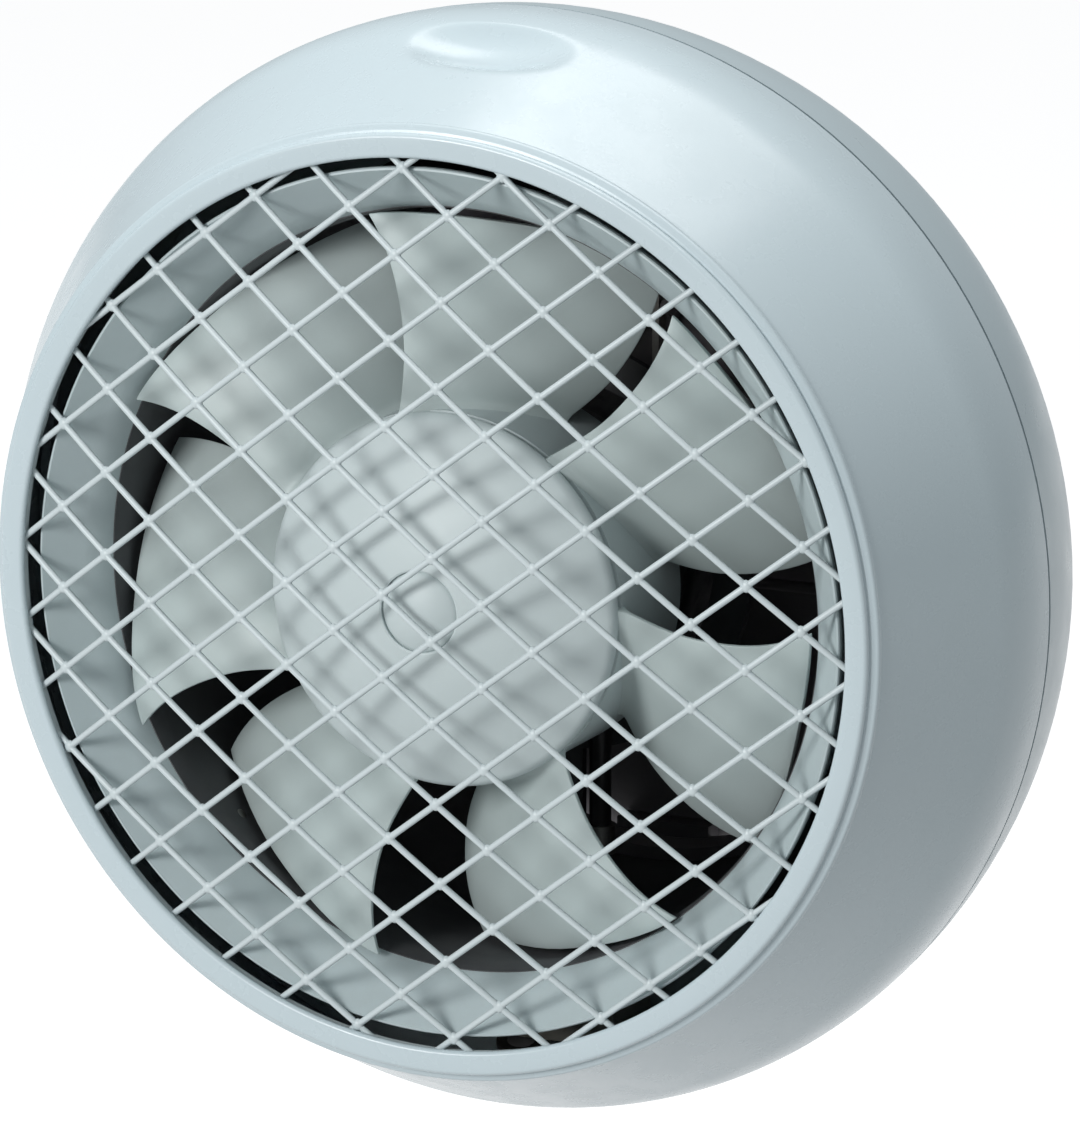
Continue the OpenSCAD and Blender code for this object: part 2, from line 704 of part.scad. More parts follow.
blade_faces = concat(
    [for (i = [0 : radial_steps - 1]) for (j = [0 : chord_steps - 1]) each quad(
        grid_index(0, i, j), grid_index(0, i + 1, j), grid_index(0, i + 1, j + 1), grid_index(0, i, j + 1))],
    [for (i = [0 : radial_steps - 1]) for (j = [0 : chord_steps - 1]) each quad(
        grid_index(1, i, j), grid_index(1, i, j + 1), grid_index(1, i + 1, j + 1), grid_index(1, i + 1, j))],
    [for (i = [0 : radial_steps - 1]) each quad(
        grid_index(0, i, 0), grid_index(1, i, 0), grid_index(1, i + 1, 0), grid_index(0, i + 1, 0))],
    [for (i = [0 : radial_steps - 1]) each quad(
        grid_index(0, i, chord_steps), grid_index(0, i + 1, chord_steps),
        grid_index(1, i + 1, chord_steps), grid_index(1, i, chord_steps))],
    [for (j = [0 : chord_steps - 1]) each quad(
        grid_index(0, 0, j), grid_index(0, 0, j + 1), grid_index(1, 0, j + 1), grid_index(1, 0, j))],
    [for (j = [0 : chord_steps - 1]) each quad(
        grid_index(0, radial_steps, j), grid_index(1, radial_steps, j),
        grid_index(1, radial_steps, j + 1), grid_index(0, radial_steps, j + 1))]);
module blade() { polyhedron(points = blade_points, faces = blade_faces, convexity = 6); }

// The hub's outline with its wall taken off by inset
module hub_outline(inset) {
    round_r = max(hub_round - inset, slack);
    round_x = hub_r - hub_round;
    reach = dome_sphere - hub_round;
    round_y = dome_centre - sqrt(pow(reach, 2) - pow(round_x, 2));
    tangent = [round_x, round_y - dome_centre] * (dome_sphere - inset) / reach + [0, dome_centre];
    intersection() {
        translate([0, dome_centre]) circle(r = dome_sphere - inset, $fn = 240);
        polygon([[0, -hub_front], [tangent[0], -hub_front], tangent, [round_x, round_y],
                 [round_x, -hub_rear], [0, -hub_rear]]);
    }
    translate([round_x, round_y]) circle(r = round_r);
    translate([0, round_y]) square([hub_r - inset, -hub_rear - round_y]);
}
module impeller() {
    color(blade_grey) difference() {
        union() {
            difference() {
                spin_y() intersection() {
                    hub_outline(0);
                    translate([0, -hub_front]) square([hub_r + over, hub_front - hub_rear]);
                }
                spin_y() intersection() {
                    union() {
                        hub_outline(hub_wall);
                        translate([0, -hub_rear - over]) square([hub_r - hub_wall, 2 * over]);
                    }
                    translate([0, -hub_front]) square([hub_r + over, hub_front - hub_rear + over]);
                }
            }
            rod_y(hub_boss_r, -nose_seat, -insert_rear);
            around(blade_count) blade();
        }
        rod_y(spinner_r + 0.5, -hub_front - over, -nose_seat);
        rod_y(insert_r + slack, -nose_seat + 2, -insert_rear + over);
        rod_y(shaft_r + running, -hub_front, -insert_rear);
    }
}
module hub_insert() {
    color(bronze) difference() {
        rod_y(insert_r, -nose_seat + 2, -insert_rear);
        rod_y(shaft_r + running, -hub_front, 0);
        block([-insert_r - over, -insert_rear - 2.5, -drive_pin_r - 0.1],
              [insert_r + over, -insert_rear + over, drive_pin_r + 0.1]);
    }
}
module drive_pin() {
    color(steel) translate([0, -pin_depth, 0]) rod_x(drive_pin_r, -drive_pin_half, drive_pin_half);
}
module spinner_nut() {
    nut_sphere = (pow(spinner_r, 2) + pow(spinner_height - cap_core, 2)) / (2 * (spinner_height - cap_core));
    color(blade_grey) difference() {
        spin_y() intersection() {
            translate([0, nut_sphere - nose_seat - spinner_height]) circle(r = nut_sphere, $fn = 240);
            translate([0, -nose_seat - spinner_height]) square([spinner_r, spinner_height]);
        }
        rod_y(shaft_r + running, -shaft_front - 0.2, 0);
    }
}
module shaft() {
    color(steel) difference() {
        rod_y(shaft_r, -shaft_front, -shaft_rear);
        translate([0, -pin_depth, 0]) rod_x(drive_pin_r + running, -hub_r, hub_r);
    }
}
module rotor_core() {
    color(steel) {
        difference() {
            union() {
                rod_y(rotor_r, -core_front, -core_rear);
                rod_y(rotor_r - 2.5, -core_front - 3, -core_rear + 3);
            }
            rod_y(shaft_r + slack, -motor_front, 0);
        }
    }
}
module circlips() {
    clip_gap = 0.6;
    color(steel) for (y = [-front_seat - clip_gap - 1, -rear_seat + clip_gap])
        difference() {
            tube_y(shaft_r + 2.2, shaft_r + slack, y, y + 1);
            block([-1.4, y - over, 0], [1.4, y + 2 * over, bearing_r]);
        }
}

// ---- Motor ----
module front_bearing() {
    color(bronze) tube_y(bearing_r, shaft_r + running, -front_seat, -front_seat + bearing_length);
}
module rear_bearing() {
    color(bronze) tube_y(bearing_r, shaft_r + running, -rear_seat - bearing_length, -rear_seat);
}
module tie_bolt_holes(grow) {
    around(tie_count, 45) translate([tie_circle, 0, 0]) rod_y(motor_bolt_r + grow, -motor_front - over, cowl_r);
}
module front_end_shield() {
    color(cast) difference() {
        union() {
            difference() {
                rod_y(motor_r, -motor_front, -core_front);
                rod_y(motor_r - shield_wall, -motor_front + shield_wall, -core_front + over);
            }
            around(tie_count, 45) translate([tie_circle, 0, 0])
                rod_y(motor_bolt_r + tie_boss, -motor_front + over, -core_front - seat);
            rod_y(bearing_boss_r, -front_seat, -front_seat + bearing_length);
        }
        rod_y(bearing_r + running, -front_seat - over, over);
        tie_bolt_holes(seat);
    }
}
module rear_end_shield() {
    color(cast) difference() {
        union() {
            difference() {
                rod_y(motor_r, -core_rear, -motor_rear);
                rod_y(motor_r - shield_wall, -core_rear - over, -motor_rear - shield_wall);
            }
            around(tie_count, 45) translate([tie_circle, 0, 0])
                rod_y(motor_bolt_r + tie_boss, -core_rear + seat, -motor_rear - over);
            rod_y(bearing_boss_r, -rear_seat - bearing_length, -rear_seat);
            around(arm_count, down) {
                block([motor_r - shield_wall, -core_rear, -arm_width / 2],
                      [lug_circle, -core_rear + lug_thick, arm_width / 2]);
                translate([lug_circle, 0, 0]) rod_y(arm_width / 2, -core_rear, -core_rear + lug_thick);
            }
        }
        rod_y(bearing_r + running, -core_rear - over, cowl_r);
        around(arm_count, down) translate([lug_circle, 0, 0])
            rod_y(lug_hole_r, -core_rear - over, -core_rear + lug_thick + over);
        tie_bolt_holes(seat);
        translate([lead_x, -lead_depth, 0]) rod_z(lead_r + seat, -motor_r - over, -motor_r + 3 * shield_wall);
    }
}
module stator_core() {
    slots = 24;
    color(steel) difference() {
        tube_y(motor_r, rotor_r + air_gap, -core_front, -core_rear);
        around(slots) translate([winding_in, 0, 0]) rod_y(1, -core_front - over, -core_rear + over);
        tie_bolt_holes(seat);
    }
}
module stator_windings() {
    color(copper) {
        tube_y(winding_out, winding_in, -core_front - winding_length, -core_front);
        tube_y(winding_out, winding_in, -core_rear, -core_rear + winding_length);
    }
}
module tie_bolts() {
    color(steel) around(tie_count, 45) translate([tie_circle, 0, 0]) {
        rod_y(motor_bolt_r * 1.8, -motor_front - 2.4, -motor_front);
        rod_y(motor_bolt_r, -motor_front - slack, -motor_rear + 3.5);
        rod_y(motor_bolt_r * 1.8, -motor_rear, -motor_rear + 2.4);
    }
}
module motor_bracket() {
    foot_side = arm_width / 2 - 0.4;
    foot_in = duct_r - foot_gap - arm_thick;
    color(dark_steel) difference() {
        union() {
            translate([0, -bracket_rear, 0]) rotate([90, 0, 0]) linear_extrude(arm_thick) difference() {
                union() {
                    circle(r = lug_end_r);
                    for (k = [0 : arm_count - 1]) rotate(down + k * full_turn / arm_count)
                        translate([0, -arm_width / 2]) square([foot_in + arm_thick / 2, arm_width]);
                }
                circle(r = bracket_ring_in);
            }
            around(arm_count, down) intersection() {
                tube_y(duct_r - foot_gap, foot_in, -bracket_front - foot_length, -bracket_rear - 0.3);
                block([0, -cowl_front, -foot_side], [duct_r, 0, foot_side]);
            }
        }
        around(arm_count, down) translate([lug_circle, 0, 0])
            rod_y(lug_hole_r, -bracket_front - over, -bracket_rear + over);
        around(arm_count, down) for (y = foot_screws) translate([0, y, 0])
            rod_x(screw_r + seat, bracket_ring_in, cowl_r);
        translate([0, 0, -lead_clip_drop])
            rod_y(screw_r + seat, -bracket_front - over, -bracket_rear + over);
    }
}
module bracket_screws() {
    color(steel) around(arm_count, down) for (y = foot_screws) translate([0, y, 0])
        screw_x(screw_r, duct_r - foot_gap - arm_thick - seat / 2, sleeve_r + 1.2);
}
module motor_bushes() {
    color(rubber) around(arm_count, down) translate([lug_circle, 0, 0])
        difference() {
            rod_y(bush_r, -core_rear + lug_thick, -bracket_front);
            rod_y(lug_hole_r, -core_rear, 0);
        }
}
module motor_bolts() {
    color(steel) around(arm_count, down) translate([lug_circle, 0, 0])
        screw_y(motor_bolt_r, -core_rear, -bracket_rear + 3.6);
}
module motor_nuts() {
    color(steel) around(arm_count, down) translate([lug_circle, 0, 0]) difference() {
        translate([0, -bracket_rear, 0]) rotate([-90, 0, 0]) cylinder(r = motor_bolt_r * 1.9, h = 3, $fn = 6);
        rod_y(motor_bolt_r + running, -bracket_front, 0);
    }
}

// ---- Wiring ----
module motor_lead() {
    color(rubber) translate([lead_x, -lead_depth, 0])
        rod_z(lead_r, -box_top - box_wall, 1.5 - sqrt(pow(motor_r, 2) - pow(lead_x, 2)));
}
module lead_clip() {
    color(steel) translate([0, 0, -lead_clip_drop]) difference() {
        union() {
            translate([lead_x, -lead_depth, 0])
                rod_z(lead_r + slack + lead_clip_wall, -lead_clip_half, lead_clip_half);
            block([-arm_width / 2, -bracket_front - lead_clip_wall, -lead_clip_half],
                  [lead_x, -bracket_front, lead_clip_half]);
        }
        translate([lead_x, -lead_depth, 0]) rod_z(lead_r + slack, -2 * lead_clip_half, 2 * lead_clip_half);
        rod_y(screw_r + seat, -bracket_front - 2 * lead_clip_wall, 0);
    }
}
module lead_clip_screw() {
    color(steel) translate([0, 0, -lead_clip_drop])
        screw_y(screw_r, -bracket_front - lead_clip_wall, -bracket_rear + 1.5);
}
module lead_grommet() {
    wall_z = -sqrt(pow(duct_r + duct_wall / 2, 2) - pow(lead_x, 2));
    body = lead_r + grommet_wall - slack;
    half_length = 3.8;
    color(rubber) translate([lead_x, -lead_depth, wall_z]) difference() {
        union() {
            rod_z(body, -half_length, half_length);
            for (z = [-half_length, half_length - grommet_wall]) rod_z(body + over, z, z + grommet_wall);
        }
        rod_z(lead_r + slack, -2 * half_length, 2 * half_length);
    }
}
module terminal_box() {
    wall = box_wall;
    color(off_white) difference() {
        block([-box_width / 2, -box_front, -box_top - box_height], [box_width / 2, -plate_thick, -box_top]);
        block([-box_width / 2 + wall, -box_front - over, -box_top - box_height + wall],
              [box_width / 2 - wall, -plate_thick - wall, -box_top - wall]);
        translate([lead_x, -lead_depth, 0]) rod_z(lead_r + slack, -box_top - wall - over, 0);
        translate([supply_x, -supply_depth, 0])
            rod_z(cable_r + 2 * seat, -box_top - box_height - over, -box_top - box_height + wall + over);
        for (side = [-1, 1]) translate([side * box_screw_x, 0, -box_top - box_height / 2])
            rod_y(screw_r + seat, -plate_thick - wall - over, -plate_thick + over);
    }
}
module box_screws() {
    color(steel) for (side = [-1, 1]) translate([side * box_screw_x, 0, -box_top - box_height / 2])
        screw_y(screw_r, -plate_thick - box_wall, -thread_end);
}
module terminal_cover() {
    color(off_white) difference() {
        block([-box_width / 2, -box_front - cover_thick, -box_top - box_height],
              [box_width / 2, -box_front, -box_top]);
        for (side = [-1, 1]) translate([side * box_screw_x, 0, -box_top - box_height / 2])
            rod_y(screw_r + seat, -box_front - cover_thick - over, -box_front + over);
    }
}
module terminal_block() {
    wire_hole_r = 2.2;
    wire_hole_deep = 10;
    poles = 3;
    middle = 3.5;
    ends = 15.5;
    pitch = (2 * box_screw_x - ends) / poles;
    color(off_white) difference() {
        block([middle - poles * pitch / 2 - 1, -box_front + 6, -box_top - box_height + box_wall + 2],
              [middle + poles * pitch / 2 + 1, -plate_thick - box_wall, -box_top - box_wall - 6]);
        for (k = [0 : poles - 1])
            translate([middle + (k - (poles - 1) / 2) * pitch, 0, -box_top - box_height / 2 - 2])
                rod_y(wire_hole_r, -box_front, -box_front + wire_hole_deep);
    }
}
module terminal_cover_screws() {
    color(steel) for (side = [-1, 1]) translate([side * box_screw_x, 0, -box_top - box_height / 2])
        screw_y(screw_r, -box_front - cover_thick, -box_front + 4);
}
// The skin of the mounting ring, from depth_in inside its outer face to depth_out outside it
module ring_skin(depth_in, depth_out) {
    spin_y() intersection() {
        difference() {
            translate([ring_centre, -cowl_widest]) circle(r = ring_arc + depth_out, $fn = 240);
            translate([ring_centre, -cowl_widest]) circle(r = ring_arc - depth_in, $fn = 240);
        }
        translate([flange_r, -ring_front]) square([cowl_r, ring_front - plate_thick - seat]);
    }
}
module cable_grommet() {
    body = cable_r + grommet_wall - slack;
    color(rubber) difference() {
        intersection() {
            ring_skin(ring_wall + grommet_lip, grommet_lip);
            translate([supply_x, -supply_depth, 0]) rod_z(body + grommet_lip, -2 * cowl_r, 0);
        }
        intersection() {
            ring_skin(ring_wall, 0);
            translate([supply_x, -supply_depth, 0]) difference() {
                rod_z(body + grommet_lip + over, -2 * cowl_r, 0);
                rod_z(body, -2 * cowl_r - over, over);
            }
        }
        translate([supply_x, -supply_depth, 0]) rod_z(cable_r, -2 * cowl_r, 0);
    }
}
module capacitor() {
    color(dark_steel) translate([-capacitor_in - capacitor_width, -plate_thick - capacitor_height, 0])
        block([0, 0, -capacitor_length / 2], [capacitor_width, capacitor_height, capacitor_length / 2]);
}
module capacitor_strap() {
    half = 4;
    tab = 7;
    clear = 0.1;
    front = -plate_thick - capacitor_height - clear;
    color(steel) difference() {
        union() {
            block([-capacitor_in - capacitor_width / 2 - half, front - strap_thick,
                   -capacitor_length / 2 - clear - strap_thick],
                  [-capacitor_in - capacitor_width / 2 + half, front,
                   capacitor_length / 2 + clear + strap_thick]);
            for (side = [-1, 1]) {
                z = side * (capacitor_length / 2 + clear + strap_thick / 2);
                foot = side * (capacitor_length / 2 + clear + strap_thick + tab / 2);
                block([-capacitor_in - capacitor_width / 2 - half, front - strap_thick, z - strap_thick / 2],
                      [-capacitor_in - capacitor_width / 2 + half, -plate_thick, z + strap_thick / 2]);
                block([-capacitor_in - capacitor_width / 2 - half, -plate_thick - strap_thick,
                       foot - tab / 2 - strap_thick / 2],
                      [-capacitor_in - capacitor_width / 2 + half, -plate_thick,
                       foot + tab / 2 + strap_thick / 2]);
            }
        }
        for (side = [-1, 1]) translate([-capacitor_in - capacitor_width / 2, 0, side * strap_screw_z])
            rod_y(screw_r + seat, -plate_thick - 2 * over, -plate_thick + over);
    }
}
module strap_screws() {
    color(steel) for (side = [-1, 1])
        translate([-capacitor_in - capacitor_width / 2, 0, side * strap_screw_z])
            screw_y(screw_r, -plate_thick - strap_thick, -thread_end);
}

// ---- Shutter ----
module ear(k, side) {
    x = side > 0 ? ear_x(k) : -ear_x(k) - ear_thick;
    translate([x, hinge_y, hinge_z(k)]) difference() {
        union() {
            rod_x(ear_r, 0, ear_thick);
            block([0, -hinge_behind, -ear_r], [ear_thick, 0, ear_r]);
            block([side > 0 ? 0 : -ear_inset - 3, -hinge_behind, -ear_r],
                  [side > 0 ? ear_thick + ear_inset + 3 : ear_thick, -hinge_behind + frame_flange, ear_r]);
        }
        rod_x(flap_pin_r + running, -over, ear_thick + over);
    }
}
module shutter_frame() {
    stop_half = 14;
    stop_foot = frame_bore - 4;
    stop_y = hinge_y + (stop_foot + hinge_z(flap_count)) * tan(flap_lean) - seat;
    color(pale) difference() {
        union() {
            tube_y(sleeve_r, frame_bore, duct_rear, duct_rear + frame_flange);
            tube_y(frame_spigot_r, frame_bore, duct_rear - frame_spigot_length, duct_rear + slack);
            intersection() {
                rod_y(frame_bore + over, duct_rear, duct_rear + frame_flange);
                difference() {
                    block([-cowl_r, 0, top_hinge + ear_r], [cowl_r, cowl_r, cowl_r]);
                    block([-link_width, 0, 0], [link_width + lever_thick, cowl_r, top_hinge + link_width + over]);
                }
            }
            for (k = [1 : flap_count]) for (side = [-1, 1]) intersection() {
                ear(k, side);
                rod_y(sleeve_r, duct_rear, cowl_r);
            }
            block([-stop_half, duct_rear, -frame_bore - over], [stop_half, stop_y, -stop_foot]);
        }
        around(shutter_screw_count, shutter_screw_start) translate([0, shutter_screw_y, 0])
            rod_x(screw_r + seat, 0, cowl_r);
    }
}
module shutter_screws() {
    color(steel) around(shutter_screw_count, shutter_screw_start) translate([0, shutter_screw_y, 0])
        screw_x(screw_r, frame_bore - seat / 2, sleeve_r);
}
module flap(k) {
    foot = k < flap_count ? flap_pitch + flap_overlap : flap_r;
    pin_gap = 0.6;
    half = ear_x(k) - pin_gap;
    pin_half = ear_x(k) + ear_thick * 0.8;
    lever_half = link_width / 2 - 0.4;
    lever_in = lever_thick * 0.7;
    translate([0, hinge_y, hinge_z(k)]) {
        rod_x(barrel_r, -half, half);
        rod_x(flap_pin_r, -pin_half, pin_half);
        translate([lever_in, 0, 0]) rotate([lever_angle - 90, 0, 0])
            block([0, -lever_half, 0], [lever_thick, lever_half, lever_length]);
        translate([0, lever_y, lever_z]) {
            rod_x(link_width / 2, lever_in, lever_in + lever_thick);
            rod_x(flap_pin_r, -link_thick * 0.8, lever_in + slack);
        }
    }
    intersection() {
        difference() {
            translate([0, hinge_y, hinge_z(k)]) rotate([flap_lean, 0, 0])
                block([-flap_r, 0.1, -foot], [flap_r, flap_thick + 0.1, -0.3]);
            for (side = [-1, 1]) {
                ear_gap(k, side, 4);
                if (k < flap_count) ear_gap(k + 1, side, 4);
            }
        }
        rod_y(flap_r, 0, cowl_r);
    }
}
// The space that a flap leaves free round a hinge ear
module ear_gap(k, side, drop) {
    x = ear_x(k) - 0.6;
    block([side > 0 ? x : -cowl_r, 0, hinge_z(k) - drop], [side > 0 ? cowl_r : -x, cowl_r, hinge_z(k) + drop]);
}
module link_bar() {
    color(steel) difference() {
        union() {
            for (k = [1, flap_count]) translate([0, hinge_y + lever_y, hinge_z(k) + lever_z])
                rod_x(link_width / 2, -link_thick / 2, link_thick / 2);
            block([-link_thick / 2, hinge_y + lever_y - link_width / 2, hinge_z(flap_count) + lever_z],
                  [link_thick / 2, hinge_y + lever_y + link_width / 2, hinge_z(1) + lever_z]);
        }
        for (k = [1 : flap_count]) translate([0, hinge_y + lever_y, hinge_z(k) + lever_z])
            rod_x(flap_pin_r + running, -link_thick, link_thick);
    }
}

front_cowl();
grille();
grille_screws();
mounting_ring();
window_gasket();
cowl_clips();
clip_rivets();
inlet_ring();
inlet_screws();
duct_sleeve();
duct_screws();
impeller();
hub_insert();
drive_pin();
spinner_nut();
shaft();
rotor_core();
circlips();
front_bearing();
rear_bearing();
front_end_shield();
rear_end_shield();
stator_core();
stator_windings();
tie_bolts();
motor_bracket();
bracket_screws();
motor_bushes();
motor_bolts();
motor_nuts();
motor_lead();
lead_clip();
lead_clip_screw();
lead_grommet();
terminal_box();
box_screws();
terminal_cover();
terminal_cover_screws();
terminal_block();
cable_grommet();
capacitor();
capacitor_strap();
strap_screws();
shutter_frame();
shutter_screws();
color(pale) flap(1);  // shutter_flap_1
color(pale) flap(2);  // shutter_flap_2
color(pale) flap(3);  // shutter_flap_3
color(pale) flap(4);  // shutter_flap_4
color(pale) flap(5);  // shutter_flap_5
link_bar();
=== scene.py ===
import json
import math

import bpy
from mathutils import Matrix, Vector


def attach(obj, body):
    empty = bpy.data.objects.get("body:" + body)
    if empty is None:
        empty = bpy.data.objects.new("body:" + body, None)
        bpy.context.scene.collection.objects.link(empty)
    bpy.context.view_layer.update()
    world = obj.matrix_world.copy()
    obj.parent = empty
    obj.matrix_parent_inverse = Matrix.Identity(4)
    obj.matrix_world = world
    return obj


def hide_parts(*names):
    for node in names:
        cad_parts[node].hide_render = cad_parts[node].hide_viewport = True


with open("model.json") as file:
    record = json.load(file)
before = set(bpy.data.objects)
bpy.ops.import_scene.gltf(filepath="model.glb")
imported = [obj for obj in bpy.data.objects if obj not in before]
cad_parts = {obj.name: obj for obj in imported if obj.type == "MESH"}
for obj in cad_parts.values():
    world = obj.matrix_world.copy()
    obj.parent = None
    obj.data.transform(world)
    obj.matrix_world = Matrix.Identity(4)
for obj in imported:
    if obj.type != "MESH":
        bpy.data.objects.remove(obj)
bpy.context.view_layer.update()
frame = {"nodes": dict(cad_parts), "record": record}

MM = 0.001
TOUCHING = 1e-6
NODES = frame["nodes"]
SLOT_OF = {entry["node"]: entry["material_slot"] for entry in frame["record"]["subparts"]}


# ---------------------------------------------------------------- camera

CAMERA_TURN, CAMERA_RISE = math.radians(25.61), math.radians(13.73)
CAMERA_LENS, CAMERA_AWAY = 289.03, 2.4452
CAMERA_LEFT, CAMERA_DOWN = 0.01258, 0.00837


def photo_camera():
    """The camera stands where the photograph's did: right of the fan's axis, a little above it."""
    turn, rise = CAMERA_TURN, CAMERA_RISE
    back = Vector((math.sin(turn) * math.cos(rise), -math.cos(turn) * math.cos(rise),
                   math.sin(rise)))
    right = Vector((math.cos(turn), math.sin(turn), 0))
    up = back.cross(right)
    data = bpy.data.cameras.new("photo_camera")
    data.sensor_width = 36
    data.lens = CAMERA_LENS
    data.clip_end = 20
    camera = bpy.data.objects.new("photo_camera", data)
    bpy.context.scene.collection.objects.link(camera)
    place = back * CAMERA_AWAY - right * CAMERA_LEFT - up * CAMERA_DOWN
    axes = Matrix((right, up, back)).transposed().to_4x4()
    camera.matrix_world = Matrix.Translation(place) @ axes
    bpy.context.scene.camera = camera


photo_camera()
bpy.context.scene.view_settings.view_transform = "Standard"


# ---------------------------------------------------------------- working in Blender

def clear_selection():
    if bpy.context.object and bpy.context.object.mode != "OBJECT":
        bpy.ops.object.mode_set(mode="OBJECT")
    bpy.ops.object.select_all(action="DESELECT")


def choose(piece):
    clear_selection()
    bpy.context.view_layer.objects.active = piece
    piece.select_set(True)


def start_edit(piece):
    """Opens a piece's mesh with all of it selected."""
    choose(piece)
    bpy.ops.object.mode_set(mode="EDIT")
    bpy.ops.mesh.select_mode(type="VERT")
    bpy.ops.mesh.select_all(action="SELECT")


def end_edit():
    bpy.ops.object.mode_set(mode="OBJECT")


def settle(piece, smooth=30):
    """Puts a piece's place, turn and size into its mesh, and shades it smooth up to an angle."""
    choose(piece)
    bpy.ops.object.transform_apply(location=True, rotation=True, scale=True)
    bpy.ops.object.shade_smooth_by_angle(angle=math.radians(smooth))
    return piece


def bevel(piece, width, angle, miter="MITER_SHARP"):
    """Rounds the edges where a piece turns by more than an angle, over a width in mm."""
    choose(piece)
    modifier = piece.modifiers.new("bevel", "BEVEL")
    modifier.width = width * MM
    modifier.segments = 2
    modifier.limit_method = "ANGLE"
    modifier.angle_limit = math.radians(angle)
    modifier.miter_outer = miter
    bpy.ops.object.modifier_apply(modifier=modifier.name)


def join(pieces, name):
    clear_selection()
    for piece in pieces:
        piece.select_set(True)
    bpy.context.view_layer.objects.active = pieces[0]
    bpy.ops.object.join()
    pieces[0].name = name
    pieces[0].data.name = name
    return pieces[0]


def copy_of(piece, matrix):
    twin = piece.copy()
    twin.data = piece.data.copy()
    bpy.context.scene.collection.objects.link(twin)
    twin.data.transform(matrix)
    return twin


def add_mesh(name, points, edges=(), faces=()):
    mesh = bpy.data.meshes.new(name)
    mesh.from_pydata([tuple(p) for p in points], list(edges), list(faces))
    piece = bpy.data.objects.new(name, mesh)
    bpy.context.scene.collection.objects.link(piece)
    return piece


def turned(name, outline, steps):
    """Spins a closed outline of (radius, depth) points, in mm, round the fan's axis."""
    points = [Vector((r, -d, 0)) * MM for r, d in outline]
    edges = [(i, (i + 1) % len(points)) for i in range(len(points))]
    piece = add_mesh(name, points, edges)
    start_edit(piece)
    bpy.ops.mesh.spin(steps=steps, angle=math.tau, center=(0, 0, 0), axis=(0, 1, 0))
    bpy.ops.mesh.select_all(action="SELECT")
    bpy.ops.mesh.remove_doubles(threshold=TOUCHING)
    bpy.ops.mesh.delete_loose(use_verts=True, use_edges=True, use_faces=False)
    bpy.ops.mesh.select_all(action="SELECT")
    bpy.ops.mesh.normals_make_consistent(inside=False)
    end_edit()
    return settle(piece)


def arc(cx, cy, radius, start, end, steps):
    """Points on an arc in an outline, from one angle to another, in degrees."""
    turns = [math.radians(start + (end - start) * i / steps) for i in range(steps + 1)]
    return [(cx + radius * math.cos(turn), cy + radius * math.sin(turn)) for turn in turns]


def softened(node, width):
    """A copy of a CAD node, in the node's place, with its sharp edges rounded."""
    piece = NODES[node].copy()
    piece.data = NODES[node].data.copy()
    piece.parent = None
    piece.matrix_world = Matrix.Identity(4)
    piece.name = node + "_soft"
    bpy.context.scene.collection.objects.link(piece)
    start_edit(piece)
    bpy.ops.mesh.remove_doubles(threshold=TOUCHING)
    bpy.ops.mesh.dissolve_limited(angle_limit=math.radians(0.5))
    end_edit()
    bevel(piece, width, 35, "MITER_ARC")
    return settle(piece, 40)


def fit(piece, body, slot, material, *nodes):
    """Gives a piece its material, the body it moves with and the CAD nodes it stands for."""
    piece.data.materials.clear()
    piece.data.materials.append(material)
    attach(piece, body)
    if nodes:
        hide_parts(*nodes)


# ---------------------------------------------------------------- surface effects

def new_group(name, inputs, outputs):
    """A shader node group. Inputs are (name, kind, value), outputs (name, kind)."""
    group = bpy.data.node_groups.new(name, "ShaderNodeTree")
    kinds = {"value": "NodeSocketFloat", "colour": "NodeSocketColor", "vector": "NodeSocketVector"}
    for label, kind, value in inputs:
        socket = group.interface.new_socket(name=label, in_out="INPUT", socket_type=kinds[kind])
        if value is not None:
            socket.default_value = value
    for label, kind in outputs:
        group.interface.new_socket(name=label, in_out="OUTPUT", socket_type=kinds[kind])
    return group, group.nodes.new("NodeGroupInput"), group.nodes.new("NodeGroupOutput")


def add_node(tree, kind, **settings):
    node = tree.nodes.new("ShaderNode" + kind)
    for name, value in settings.items():
        setattr(node, name, value)
    return node


def wire(tree, source, target):
    tree.links.new(source, target)


def feed(tree, socket, value):
    """Sets a socket to a number or a colour, or links it to another node's output."""
    if isinstance(value, (int, float, tuple)):
        socket.default_value = value
    else:
        wire(tree, value, socket)


def noise(tree, vector, scale, detail, rough=0.55):
    node = add_node(tree, "TexNoise")
    node.inputs["Scale"].default_value = scale
    node.inputs["Detail"].default_value = detail
    node.inputs["Roughness"].default_value = rough
    wire(tree, vector, node.inputs["Vector"])
    return node.outputs["Fac"]


def spread(tree, value, source, target):
    """Maps one range of a value, given as (low, high), onto another."""
    node = add_node(tree, "MapRange", clamp=True)
    node.inputs["From Min"].default_value, node.inputs["From Max"].default_value = source
    node.inputs["To Min"].default_value, node.inputs["To Max"].default_value = target
    wire(tree, value, node.inputs["Value"])
    return node.outputs["Result"]


def calc(tree, kind, a, b):
    node = add_node(tree, "Math", operation=kind)
    feed(tree, node.inputs[0], a)
    feed(tree, node.inputs[1], b)
    return node.outputs[0]


def sum_of(tree, a, b):
    return calc(tree, "ADD", a, b)


def product(tree, a, b):
    return calc(tree, "MULTIPLY", a, b)


def tint(tree, colour, amount, other):
    """Blends a colour towards another one. A Mix node keeps its colours in sockets 6, 7 and 2."""
    node = add_node(tree, "Mix", data_type="RGBA")
    feed(tree, node.inputs[0], amount)
    feed(tree, node.inputs[6], colour)
    feed(tree, node.inputs[7], other)
    return node.outputs[2]


